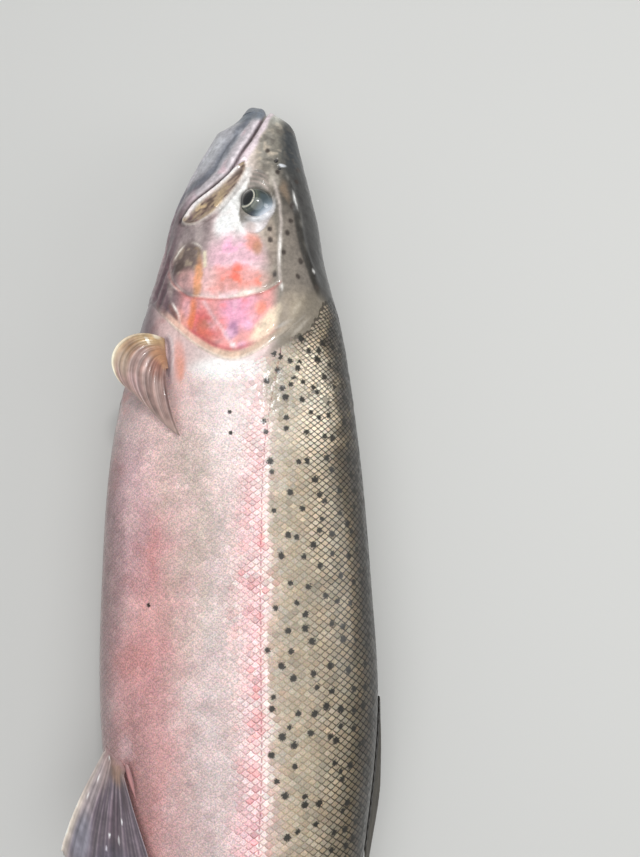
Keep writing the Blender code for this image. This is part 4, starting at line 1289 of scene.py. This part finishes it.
def lay_scales():
    """Every scale on the body, in pieces of a few thousand from the gills to the tail."""
    table = scale_roots()
    table = table[np.argsort(table[:, 0], kind="stable")]
    root, facing, lie, turn, pored = table[:, 0:3], table[:, 3:6], table[:, 6:9], table[:, 9], table[:, 10]
    chance = np.random.default_rng(9)
    luck = np.clip(chance.normal(0.0, 0.095, len(table)), -0.24, 0.24)
    facing = facing / np.linalg.norm(facing, axis=1, keepdims=True) + chance.normal(0, 0.012, facing.shape)
    facing = facing / np.linalg.norm(facing, axis=1, keepdims=True)
    lie = lie / np.linalg.norm(lie, axis=1, keepdims=True) * MM
    seats, out, lie_world = seat_scales(root, facing, lie)
    looks, own_colour, own_tint = scale_looks(root, luck, chance)
    spot_at, spot_size = nearest_spots(root, lie)
    on_map = on_flat_map(turn / (2 * math.pi), length_share(root[:, 0]))
    looks |= {"pore": pored, "number": np.arange(len(table)), "facing": out, "lie": lie_world}
    looks["on_map"] = np.column_stack([on_map, np.zeros(len(table))])
    one = scale_shape()
    tree, values = lapping_tree(one, scale_finish())
    pieces = []
    for start in range(0, len(table), MOST_SCALES_IN_A_PIECE):
        part = slice(start, start + MOST_SCALES_IN_A_PIECE)
        joined = lapped(seats[part], {name: stored[part] for name, stored in looks.items()}, tree, values)
        joined.name = f"scales_{len(pieces) + 1}"
        places = read(joined.vertices, "co", 3)
        places[:, 2] = np.maximum(places[:, 2], 0.05 * MM)
        joined.vertices.foreach_set("co", places.ravel())
        number = np.rint(read(joined.attributes["number"].data, "value")).astype(int)
        store(joined, "from_spot", (places - spot_at[number]) / spot_size[number, None], vectors=True)
        painted = 0.3 * body_colours(from_frame(places)) + 0.7 * own_colour[number]
        store(joined, "tone", to_linear(painted) * own_tint[number])
        map_scales(joined)
        pieces.append(new_object(joined.name, joined))
    bpy.data.objects.remove(one)
    return pieces


PATCH = 0.003  # across one scale's patch on the flat map


def map_scales(mesh):
    """Gives each scale a small patch of its own, at its root's place on the skin's flat map."""
    corners = read(mesh.loops, "vertex_index", kind=int)
    on_map = read(mesh.attributes["on_map"].data, "vector", 3)
    local = read(mesh.uv_layers["OnScale"].data, "uv", 2)
    uv = on_map[corners, :2] + (local - 0.5) * PATCH
    mesh.uv_layers.new(name="OFBake").data.foreach_set("uv", uv.ravel())


for scales in lay_scales():
    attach(scales, "root")

# ---------------------------------------------------------------------------------------------
# The eyes. Glassy balls in the sockets, with the oval pupil and its gold ring low on the side that
# faces out, so that they sit low in the opening and the blue-grey wall of the eye shows above them.
# ---------------------------------------------------------------------------------------------
EYE_RINGS, EYE_COLUMNS = 48, 96
PUPIL = (-2.6, -5.9, 5.4, 4.6)  # from the eye's middle, along and up, and its half sizes, in mm


def eye_colours(along, up):
    """Colours of the eyeball at places along and up from its middle, in mm."""
    reach = np.hypot((along - PUPIL[0]) / PUPIL[2], (up - PUPIL[1]) / PUPIL[3])
    notch = blot(along, up, (PUPIL[0] - 5.6, PUPIL[1] + 0.6), (2.2, 1.6))
    angle = np.arctan2(up - PUPIL[1], along - PUPIL[0])
    streaks = np.sin(angle * 23 + 2 * np.sin(angle * 5)) * 0.5 + np.sin(angle * 41) * 0.3
    paint = Painting(np.tile(np.array((66.0, 78.0, 82.0)), (len(along), 1)), along, up)
    wash, dab = paint.wash, paint.dab
    wash((124, 138, 148), 0.8 * step_up(along + up, 4, 10))
    # painted reflection: the pale rear and upper part of the ball
    wash((222, 228, 238), 0.85 * step_up(along + 0.9 * up, 7.5, 12))
    # painted shade at the front of the ball, under the rim of the socket
    dab((30, 36, 28), 0.9, (-8.0, 3.5), (3.6, 6.0), -20)
    dab((44, 52, 72), 0.85, (6.5, -4.5), (3.0, 4.0))
    wash((70, 76, 66), 0.8 * hump(reach, 1.75, 0.22))
    wash((112, 116, 88), 0.85 * hump(reach, 1.48, 0.13) * (0.7 + 0.3 * streaks))
    wash((52, 54, 44), 0.85 * hump(reach, 1.30, 0.07))
    wash((236, 228, 204), 0.97 * hump(reach, 1.13, 0.085) * step_up(up + 0.1 * along, -9.5, -7))
    dark = np.maximum(1 - step_up(reach, 0.96, 1.03), notch)
    wash((10, 14, 14), dark)
    return paint.colour


def glassy_finish():
    made, shader, recipe = new_finish("glassy_eye")
    tone = recipe.stored("tone", "Color")
    recipe.fill(shader, {"Base Color": tone, "Roughness": 0.22, "Coat Weight": 1.0, "Coat Roughness": 0.02})
    return made


def make_eye(name, glass):
    """A ball in the socket, with its colours round the side that faces out."""
    low, high = (np.array(corner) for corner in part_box(name))
    middle, radius = (low + high) / 2, (high - low)[1] / 2
    tilts = np.linspace(0, math.pi, EYE_RINGS + 2)[1:-1, None]
    turns = np.linspace(0, 2 * math.pi, EYE_COLUMNS, endpoint=False)[None, :]
    x, y = np.sin(tilts) * np.cos(turns), np.sin(tilts) * np.sin(turns)
    ball = np.stack([x, y, np.cos(tilts) + 0 * turns], axis=-1).reshape(-1, 3)
    ball = np.concatenate([ball, [(0, 0, 1.0), (0, 0, -1.0)]])
    faces = closed_grid_faces(EYE_RINGS, EYE_COLUMNS)
    eye = new_piece(name.replace("_", "_ball_"), middle + ball * radius, faces, glass)
    along, up = -ball[:, 1] * radius / MM, ball[:, 0] * radius / MM
    store(eye.data, "tone", to_linear(eye_colours(along, up)))
    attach(eye, "root")
    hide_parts(name)


GLASS = glassy_finish()
make_eye("eye_left", GLASS)
make_eye("eye_right", GLASS)

# ---------------------------------------------------------------------------------------------
# The fins. Thin webs of skin stiffened by jointed rays, which fork towards the rim. Each is a closed
# sheet, thick at its fleshy root, that rises over every ray and thins to nothing at a frayed rim.
# ---------------------------------------------------------------------------------------------
POINTS_PER_RAY = 8
RAY_JOINTS = 26
FIN_CLEARANCE = 1.3 * MM  # from the flesh to the middle of a fin that lies along it
FIN_ABOVE_FLOOR = 0.6 * MM


def bezier(points, t):
    """Points on a cubic curve with four control points."""
    a, b, c, d = (np.array(p, float) for p in points)
    t = t[..., None]
    s = 1 - t
    return a * s**3 + b * 3 * s * s * t + c * 3 * s * t * t + d * t**3


def off_the_body(points, clearance):
    """Moves points that lie inside the body straight out until they are clear of it."""
    back, belly, half = body_lines(points[..., 0])
    widest = belly + WIDEST_SHARE * (back - belly)
    up = points[..., 1] - widest
    reach = clearance + np.where(up > 0, back - widest, widest - belly)
    level = np.abs(up / reach) ** TRUNK_FULLNESS
    level += np.abs(points[..., 2] / (half + clearance)) ** TRUNK_FULLNESS
    out = np.where(level < 1.0, np.maximum(level, 0.01) ** (-1 / TRUNK_FULLNESS), 1.0)
    out = np.where(points[..., 0] > TAIL_ROOT + clearance, 1.0, out)
    return np.stack([points[..., 0], widest + up * out, points[..., 2] * out], axis=-1)


def ray_ridges(share, t, rays, fork):
    """1 on the top of each ray and 0 between rays. The rays fork at a share of their length."""
    main = np.abs(np.cos(math.pi * share * rays)) ** 2.5
    split = np.abs(np.cos(2 * math.pi * share * rays)) ** 2.5
    forked = step_up(t, fork - 0.12, fork + 0.12)
    return np.maximum(main * (1 - 0.35 * forked), split * forked)


def closed_sheet(name, middle, half_thickness, finish):
    """A closed sheet through a grid of middle points, with the half thickness given at each."""
    offset = grid_normals(middle) * half_thickness[..., None]
    rows, columns = half_thickness.shape
    count = rows * columns
    i, j = np.meshgrid(np.arange(rows - 1), np.arange(columns - 1), indexing="ij")
    a = (i * columns + j).ravel()
    top = np.stack([a, a + 1, a + columns + 1, a + columns], axis=-1)
    rim = grid_rim(rows, columns)
    faces = top.tolist() + (top[:, ::-1] + count).tolist()
    faces += [(there, here, here + count, there + count) for here, there in zip(rim, rim[1:] + rim[:1])]
    vertices = np.concatenate([(middle + offset).reshape(-1, 3), (middle - offset).reshape(-1, 3)])
    vertices[:, 2] = np.maximum(vertices[:, 2], 0.0)
    return outward(new_piece(name, vertices, faces, finish))


def outward(piece):
    """Turns every face of a closed piece to the outside."""
    shape = bmesh.new()
    shape.from_mesh(piece.data)
    bmesh.ops.recalc_face_normals(shape, faces=shape.faces)
    shape.to_mesh(piece.data)
    shape.free()
    return piece


def fin_finish():
    """Wet fin: painted colour, blotched, under a clear layer."""
    made, shader, recipe = new_finish("wet_fin")
    blotches = recipe.noise(260, 5)["Fac"]
    shade = recipe.between(blotches, 0.0, 1.0, 0.78, 1.2, "LINEAR")
    recipe.fill(shader, {
        "Base Color": recipe.vectors("SCALE", recipe.stored("tone", "Color"), shade),
        "Normal": recipe.bump(blotches, 0.3, 0.0002),
        "Roughness": 0.36,
        "Coat Weight": 0.5,
        "Coat Roughness": 0.12,
    })
    return made


WET_FIN = fin_finish()


def creases(share, t):
    """Uneven folds that run out along the rays of a slack fin, from -1 to 1."""
    across = np.stack([share * 22, t * 1.7, 0 * t], axis=-1)
    return 0.6 * mottling(across, 1.0, 44) + 0.5 * mottling(across * (2.3, 1.4, 1), 1.0, 45)


def finish_fin(name, middle, share, t, rays, fork, thick, colours, slack=0.0, tints=()):
    """Makes a fin of its middle points: colours at root, web, ray and rim, and the ray's half height in mm.

    Each tint is a soft mark: its middle and half sizes as shares across and along the rays, colour, amount.
    Some tints are painted highlights.
    """
    root, web, ray, rim = colours
    share, t = np.broadcast_arrays(share, t)
    ridge = ray_ridges(share, t, rays, fork)
    edge = np.minimum(step_up(t, 1.0, 0.90), 1.0) * 0.75 + 0.25
    half = (0.13 + thick * ridge * (1 - 0.55 * t)) * edge + 0.55 * step_down(t, 0.0, 0.22)
    border = np.ones_like(half)
    border[[0, -1], :] = 0.35
    border[:, -1] = 0.35
    made = closed_sheet(name, middle, half * border * MM, WET_FIN)
    share, t, ridge = share.ravel(), t.ravel(), ridge.ravel()
    joints = 0.5 + 0.5 * np.sin(t * 2 * math.pi * RAY_JOINTS)
    paint = Painting(np.tile(np.array(web, float), (len(t), 1)), share, t)
    paint.wash(ray, step_up(ridge, 0.25, 0.8) * (0.75 + 0.25 * joints))
    paint.wash(root, 0.9 * step_down(t, 0.05, 0.32))
    paint.wash(rim, 0.8 * step_up(t, 0.86, 0.99) + 0.7 * step_down(share, 0.0, 0.06))
    for spot, size, tint, amount in tints:
        paint.dab(tint, amount, spot, size)
    # painted light and shade on the creases: lighter where a fold rises, darker where it sinks
    paint.colour = paint.shaded(0.7 * slack * creases(share, t) * step_up(t, 0.02, 0.3))
    places = from_frame(middle.reshape(-1, 3))
    if not name.startswith("pectoral"):
        reach = 0.34 if name == "tail_fin_web" else 0.14
        uneven = t + 0.05 * mottling(places, 3 * MM, 37)
        paint.wash(body_colours(places), 0.9 * step_down(uneven, 0.25 * reach, reach))
    colour = paint.shaded(0.10 * mottling(places, 4 * MM, 31) + 0.06 * mottling(places, 1.5 * MM, 32))
    store(made.data, "tone", np.tile(to_linear(colour), (2, 1)))
    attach(made, "root")
    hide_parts(name.replace("_web", ""))


def across_and_along(rays, places_along_ray):
    """Shares across the rays, as rows, and along them, as columns."""
    across = np.linspace(0, 1, rays * POINTS_PER_RAY + 1)[:, None]
    return across, np.linspace(0, 1, places_along_ray)[None, :]


def fan_fin(name, lead, trail, rays, fork, thick, colours,
            bulge=0.0, ragged=0.0, rounded=0.0, slack=0.0, tints=()):
    """A fin spread between its leading and trailing ray, each a cubic curve in the fish's measures."""
    share, t = across_and_along(rays, 64)
    fray = mottling(np.stack([share[:, 0] * rays * 1.7, 0 * share[:, 0], 0 * share[:, 0]], axis=-1), 1.0, 40)
    tips = ray_ridges(share, np.ones_like(share), rays, fork)
    longer = 1 + bulge * 4 * share * (1 - share)
    longer = longer - ragged * (0.5 + 0.5 * fray[:, None]) - 0.6 * ragged * (1 - tips)
    longer = longer - rounded * hump(share, 0, 0.13) - rounded * hump(1 - share, 0, 0.13)
    lengths = t * np.minimum(longer, 1 + bulge)
    wave = 0.25 * MM * np.sin(share * rays * 1.3 + 2) * lengths**2
    middle = (1 - share)[..., None] * bezier(lead, lengths) + share[..., None] * bezier(trail, lengths)
    sunk = step_down(t, 0.0, 0.14) + 0 * share  # the roots start under the skin
    middle[..., 1] *= 1 - 0.04 * sunk
    middle[..., 2] *= 1 - 0.14 * sunk
    middle = off_the_body(middle, FIN_CLEARANCE - (FIN_CLEARANCE + 0.45 * MM) * sunk)
    middle[..., 2] += wave + slack * MM * creases(*np.broadcast_arrays(share, t)) * (1 - sunk)
    spots = to_frame(middle, FIN_ABOVE_FLOOR)
    finish_fin(name, spots, share, t, rays, fork, thick, colours, slack, tints)


LEFT_CHEST_COLOURS = ((172, 136, 102), (156, 126, 118), (172, 146, 138), (176, 152, 142))
LEFT_CHEST_MARKS_AND_HIGHLIGHTS = [
    ((0.1, 0.4), (0.2, 0.28), (158, 122, 84), 0.75),
    ((0.14, 0.18), (0.22, 0.16), (188, 160, 118), 0.8),
    ((0.66, 0.16), (0.34, 0.17), (172, 124, 90), 0.7),
    ((0.17, 0.62), (0.14, 0.16), (190, 168, 148), 0.7),
    ((0.76, 0.36), (0.18, 0.16), (136, 92, 78), 0.8),
    ((0.97, 0.52), (0.07, 0.34), (128, 96, 90), 0.8),
    ((0.4, 0.72), (0.14, 0.12), (184, 152, 152), 0.5),
    ((0.00, 0.62), (0.075, 0.5), (220, 202, 172), 0.95),
    ((0.00, 0.66), (0.045, 0.26), (236, 226, 202), 0.8),
    # painted highlight: a white streak near the root
    ((0.2, 0.2), (0.12, 0.016), (250, 248, 236), 0.9),
    ((0.05, 0.1), (0.1, 0.03), (232, 226, 206), 0.8),
]
LEFT_BELLY_COLOURS = ((150, 122, 112), (100, 88, 98), (140, 126, 132), (176, 164, 162))
LEFT_BELLY_MARKS_AND_HIGHLIGHTS = [
    ((0.22, 0.22), (0.24, 0.22), (170, 150, 146), 0.8),
    ((0.14, 0.45), (0.14, 0.3), (188, 174, 174), 0.8),
    ((0.66, 0.14), (0.26, 0.14), (152, 122, 104), 0.8),
    ((0.85, 0.32), (0.1, 0.18), (84, 70, 76), 0.7),
    ((0.2, 0.78), (0.14, 0.2), (150, 148, 160), 0.8),
    ((0.62, 0.55), (0.1, 0.26), (98, 80, 90), 0.5),
    ((0.58, 0.88), (0.26, 0.16), (88, 84, 98), 0.5),
    ((0.00, 0.5), (0.11, 0.8), (200, 186, 178), 0.95),
    ((0.00, 0.8), (0.08, 0.34), (230, 216, 202), 0.85),
    # painted highlights: small white glints along the leading edge and on the rays
    ((0.3, 0.09), (0.06, 0.022), (250, 246, 242), 0.9),
    ((0.17, 0.33), (0.018, 0.035), (250, 246, 242), 0.9),
    ((0.11, 0.51), (0.016, 0.025), (250, 246, 242), 0.9),
    ((0.73, 0.54), (0.014, 0.025), (252, 250, 250), 0.95),
    ((0.67, 0.69), (0.013, 0.035), (252, 250, 250), 0.95),
    ((0.55, 0.67), (0.016, 0.018), (252, 250, 250), 0.95),
    ((0.52, 0.77), (0.012, 0.016), (236, 232, 238), 0.8),
]
AMBER_COLOURS = ((144, 108, 82), (150, 118, 98), (158, 126, 105), (206, 182, 162))
SMOKE_COLOURS = ((172, 138, 132), (106, 90, 104), (154, 136, 140), (184, 168, 164))
TAIL_COLOURS = ((132, 122, 104), (108, 102, 94), (138, 130, 112), (96, 90, 84))
ADIPOSE_COLOURS = ((112, 104, 82), (104, 96, 78), (108, 100, 80), (60, 56, 50))
DORSAL_COLOURS = ((54, 51, 44), (60, 56, 49), (78, 73, 62), (52, 48, 44))

fan_fin(
    "pectoral_fin_left_web",
    [(0.1572, -0.041, 0.036), (0.1466, -0.06, 0.0455), (0.168, -0.0831, 0.04), (0.186, -0.0625, 0.0385)],
    [(0.1742, -0.0395, 0.0385), (0.1765, -0.0378, 0.0475), (0.1933, -0.0385, 0.049),
     (0.2155, -0.0285, 0.047)],
    rays=13, fork=0.55, thick=0.05, colours=LEFT_CHEST_COLOURS,
    bulge=0.07, ragged=0.01, slack=0.32, tints=LEFT_CHEST_MARKS_AND_HIGHLIGHTS,
)
fan_fin(
    "pectoral_fin_right_web",
    [(0.159, -0.048, -0.029), (0.18, -0.066, -0.038), (0.215, -0.08, -0.046), (0.254, -0.078, -0.05)],
    [(0.169, -0.04, -0.036), (0.184, -0.052, -0.0425), (0.205, -0.058, -0.047), (0.226, -0.06, -0.05)],
    rays=13, fork=0.55, thick=0.42, colours=AMBER_COLOURS, ragged=0.02,
)
fan_fin(
    "pelvic_fin_left_web",
    [(0.3909, -0.0729, 0.021), (0.398, -0.075, 0.0225), (0.4305, -0.0972, 0.016), (0.466, -0.105, 0.0035)],
    [(0.3965, -0.0605, 0.0335), (0.414, -0.055, 0.0385), (0.436, -0.046, 0.041), (0.456, -0.0385, 0.0425)],
    rays=11, fork=0.45, thick=0.16, colours=LEFT_BELLY_COLOURS,
    bulge=0.07, ragged=0.025, rounded=0.1, slack=0.36, tints=LEFT_BELLY_MARKS_AND_HIGHLIGHTS,
)
fan_fin(
    "pelvic_fin_right_web",
    [(0.396, -0.0745, -0.023), (0.414, -0.084, -0.036), (0.438, -0.09, -0.046), (0.466, -0.093, -0.05)],
    [(0.406, -0.065, -0.032), (0.418, -0.066, -0.041), (0.434, -0.065, -0.046), (0.452, -0.064, -0.048)],
    rays=10, fork=0.5, thick=0.42, colours=SMOKE_COLOURS,
    bulge=0.05, ragged=0.025, rounded=0.1,
)


def lap_scale(name, side):
    """The long pointed scale that covers the trailing root of a pelvic fin, on the left (1) or right (-1)."""
    t, across = np.meshgrid(np.linspace(0, 1, 24), np.linspace(-1, 1, 7), indexing="ij")
    width = 1.5 * MM * np.sin(math.pi * (0.10 + 0.90 * t) ** 0.75)
    up = -0.0572 + 0.0062 * t + across * width
    middle = np.stack([0.3955 + 0.0195 * t, up, side * (0.0360 + 0.0020 * t)], axis=-1)
    sunk = step_down(t, 0.0, 0.25)
    middle = off_the_body(middle, 2.0 * MM - 2.2 * MM * sunk)
    half = (0.22 + 0.25 * (1 - across**2)) * (1 - 0.6 * t) * MM
    made = closed_sheet(name, to_frame(middle), half, WET_FIN)
    t, across = t.ravel(), across.ravel()
    colour = np.tile(np.array((150, 94, 94), float), (t.size, 1))
    colour = lay(colour, (186, 128, 124), 0.7 * hump(across, -0.1, 0.4) * step_up(t, 0.05, 0.3))
    colour = lay(colour, (112, 80, 82), 0.8 * step_up(np.abs(across), 0.55, 1.0))
    colour = lay(colour, body_colours(middle.reshape(-1, 3)), 0.9 * sunk.ravel())
    store(made.data, "tone", np.tile(to_linear(colour), (2, 1)))
    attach(made, "root")


lap_scale("pelvic_scale_left", 1)
lap_scale("pelvic_scale_right", -1)


def on_line(line, along):
    """How high the back (0) or the belly (1) is at one place along the body."""
    return float(body_lines(np.array([along]))[line][0])


fan_fin(
    "anal_fin_web",
    [(0.566, on_line(1, 0.566), 0), (0.584, -0.072, -0.004), (0.604, -0.094, -0.01), (0.622, -0.112, -0.016)],
    [(0.64, on_line(1, 0.64), 0), (0.646, -0.045, -0.001), (0.652, -0.051, -0.003), (0.657, -0.058, -0.005)],
    rays=12, fork=0.5, thick=0.45, colours=SMOKE_COLOURS,
    bulge=0.06, ragged=0.03, rounded=0.12,
)
fan_fin(
    "adipose_fin_web",
    [(0.641, on_line(0, 0.641), 0), (0.650, 0.0500, 0), (0.662, 0.0590, 0), (0.676, 0.0600, 0)],
    [(0.656, on_line(0, 0.656), 0), (0.660, 0.0455, 0), (0.668, 0.0470, 0), (0.676, 0.0500, 0)],
    rays=1, fork=2.0, thick=0.9, colours=ADIPOSE_COLOURS, rounded=0.22,
    tints=[((0.35, 0.45), (0.20, 0.10), SPOT_COLOUR, 0.8), ((0.62, 0.72), (0.18, 0.08), SPOT_COLOUR, 0.8)],
)


def ray_spots(rows, spots_in_row, size, seed):
    """Dark spots in rows that run out along a fin's rays. Their half sizes are shares across and along."""
    chance = np.random.default_rng(seed)
    tints = []
    for share in (np.arange(rows) + 0.5) / rows:
        for t in np.linspace(0.16, 0.88, spots_in_row):
            place = (share + chance.uniform(-0.3, 0.3) / rows, t + chance.uniform(-0.3, 0.3) / spots_in_row)
            larger = chance.uniform(0.7, 1.15)
            if chance.uniform() < 0.8:
                tints.append((place, (size[0] * larger, size[1] * larger), SPOT_COLOUR, 0.85))
    return tints


def tail_fin():
    """A slightly forked fan, whose rays fold out from the tail's root."""
    rays, fork = 19, 0.45
    across, t = across_and_along(rays, 60)
    share = 1 - 2 * across  # from 1 at the upper lobe to -1 at the lower
    back, belly = on_line(0, TAIL_ROOT), on_line(1, TAIL_ROOT)
    tips = ray_ridges(across, np.ones_like(share), rays, fork)
    root_up = (back + belly) / 2 + share * (back - belly) / 2 * 0.94
    spread = 0.082 * share + 0.001
    tip_along = TAIL_ROOT + 0.058 + 0.030 * np.abs(share) ** 1.5 - 1.2 * MM * (1 - tips)
    root_along = TAIL_ROOT + 0.6 * MM
    bend = (0.55 * root_along + 0.45 * tip_along, 0.48 * root_up + 0.52 * spread)
    along = root_along * (1 - t) ** 2 + bend[0] * 2 * t * (1 - t) + tip_along * t * t
    up = root_up * (1 - t) ** 2 + bend[1] * 2 * t * (1 - t) + spread * t * t
    side = -4 * MM * t * t + 0.5 * MM * np.sin(share * 11) * t
    spots = to_frame(np.stack([along, up, side], axis=-1), FIN_ABOVE_FLOOR)
    finish_fin("tail_fin_web", spots, across, t, rays, fork, 0.5, TAIL_COLOURS,
               tints=ray_spots(17, 6, (0.015, 0.034), 61))


DORSAL_BASE = (0.367, 0.455)  # where it grows from the back
DORSAL_RAYS_REACH = (0.062, 0.027)  # of the first and the last ray towards the tail, folded down
DORSAL_RAYS_RISE = (0.0105, 0.0050)  # of their tips from the back
DORSAL_LEAN = math.radians(55)  # over to the right flank


def dorsal_fin():
    """Folded down: its rays lie back towards the tail, and it leans over to the flank that is down."""
    rays, fork = 13, 0.6
    share, t = across_and_along(rays, 40)
    tips = ray_ridges(share, np.ones_like(share), rays, fork)
    t = t * (1 - 0.04 * (1 - tips) - 0.10 * hump(share, 0, 0.08))
    reach, rise, start = (
        first + (last - first) * share for first, last in (DORSAL_RAYS_REACH, DORSAL_RAYS_RISE, DORSAL_BASE)
    )
    along = start + reach * t
    up = body_lines(along)[0] + 0.3 * MM + rise * t * math.cos(DORSAL_LEAN)
    side = -rise * t * math.sin(DORSAL_LEAN)
    spots = to_frame(np.stack([along, up, side], axis=-1))
    finish_fin("dorsal_fin_web", spots, share, t, rays, fork, 0.32, DORSAL_COLOURS,
               tints=ray_spots(11, 4, (0.020, 0.050), 62))


tail_fin()
dorsal_fin()

# ---------------------------------------------------------------------------------------------
# The setting: a plain pale floor, soft studio light from above, and the camera over the left flank.
# ---------------------------------------------------------------------------------------------
FLOOR_SIZE = 6.0
floor_mesh = bpy.data.meshes.new("floor")
half = FLOOR_SIZE / 2
corners = [(-half, -half, 0), (half, -half, 0), (half, half, 0), (-half, half, 0)]
floor_mesh.from_pydata(corners, [], [(0, 1, 2, 3)])
pale, shader, recipe = new_finish("pale_floor")
recipe.fill(shader, {"Base Color": (0.62, 0.62, 0.60, 1), "Roughness": 0.9, "Specular IOR Level": 0.1})
floor_mesh.materials.append(pale)
new_object("floor", floor_mesh)

world = bpy.data.worlds.new("studio")
bpy.context.scene.world = world
world.use_nodes = True
world.node_tree.nodes["Background"].inputs["Color"].default_value = (0.95, 0.97, 1.0, 1)
world.node_tree.nodes["Background"].inputs["Strength"].default_value = 0.36


def soft_light(name, place, aim, size, power):
    lamp = bpy.data.lights.new(name, "AREA")
    lamp.shape = "ELLIPSE"
    lamp.size, lamp.size_y = size
    lamp.energy = power
    made = new_object(name, lamp)
    made.location = place
    made.rotation_euler = (Vector(aim) - Vector(place)).to_track_quat("-Z", "Y").to_euler()


soft_light("ceiling", (0.15, 0.10, 1.50), (0.10, 0.09, 0.0), (2.4, 2.4), 18.5)
soft_light("glint", (0.26, 0.62, 1.30), (0.05, 0.20, 0.04), (0.14, 0.14), 3.2)
soft_light("side", (1.30, 0.15, 0.62), (0.0, 0.10, 0.04), (0.6, 0.9), 4.2)

CAMERA_AIM = (0.0496, 0.162, 0.048)
CAMERA_DISTANCE = 0.487
CAMERA_TILT = math.radians(6)
lens = bpy.data.cameras.new("camera")
lens.lens = 33
lens.sensor_width = 36
camera = new_object("camera", lens)
camera.location = (
    CAMERA_AIM[0],
    CAMERA_AIM[1] - CAMERA_DISTANCE * math.sin(CAMERA_TILT),
    CAMERA_AIM[2] + CAMERA_DISTANCE * math.cos(CAMERA_TILT),
)
camera.rotation_euler = (CAMERA_TILT, 0, 0)
bpy.context.scene.camera = camera
bpy.context.scene.view_settings.view_transform = "Standard"
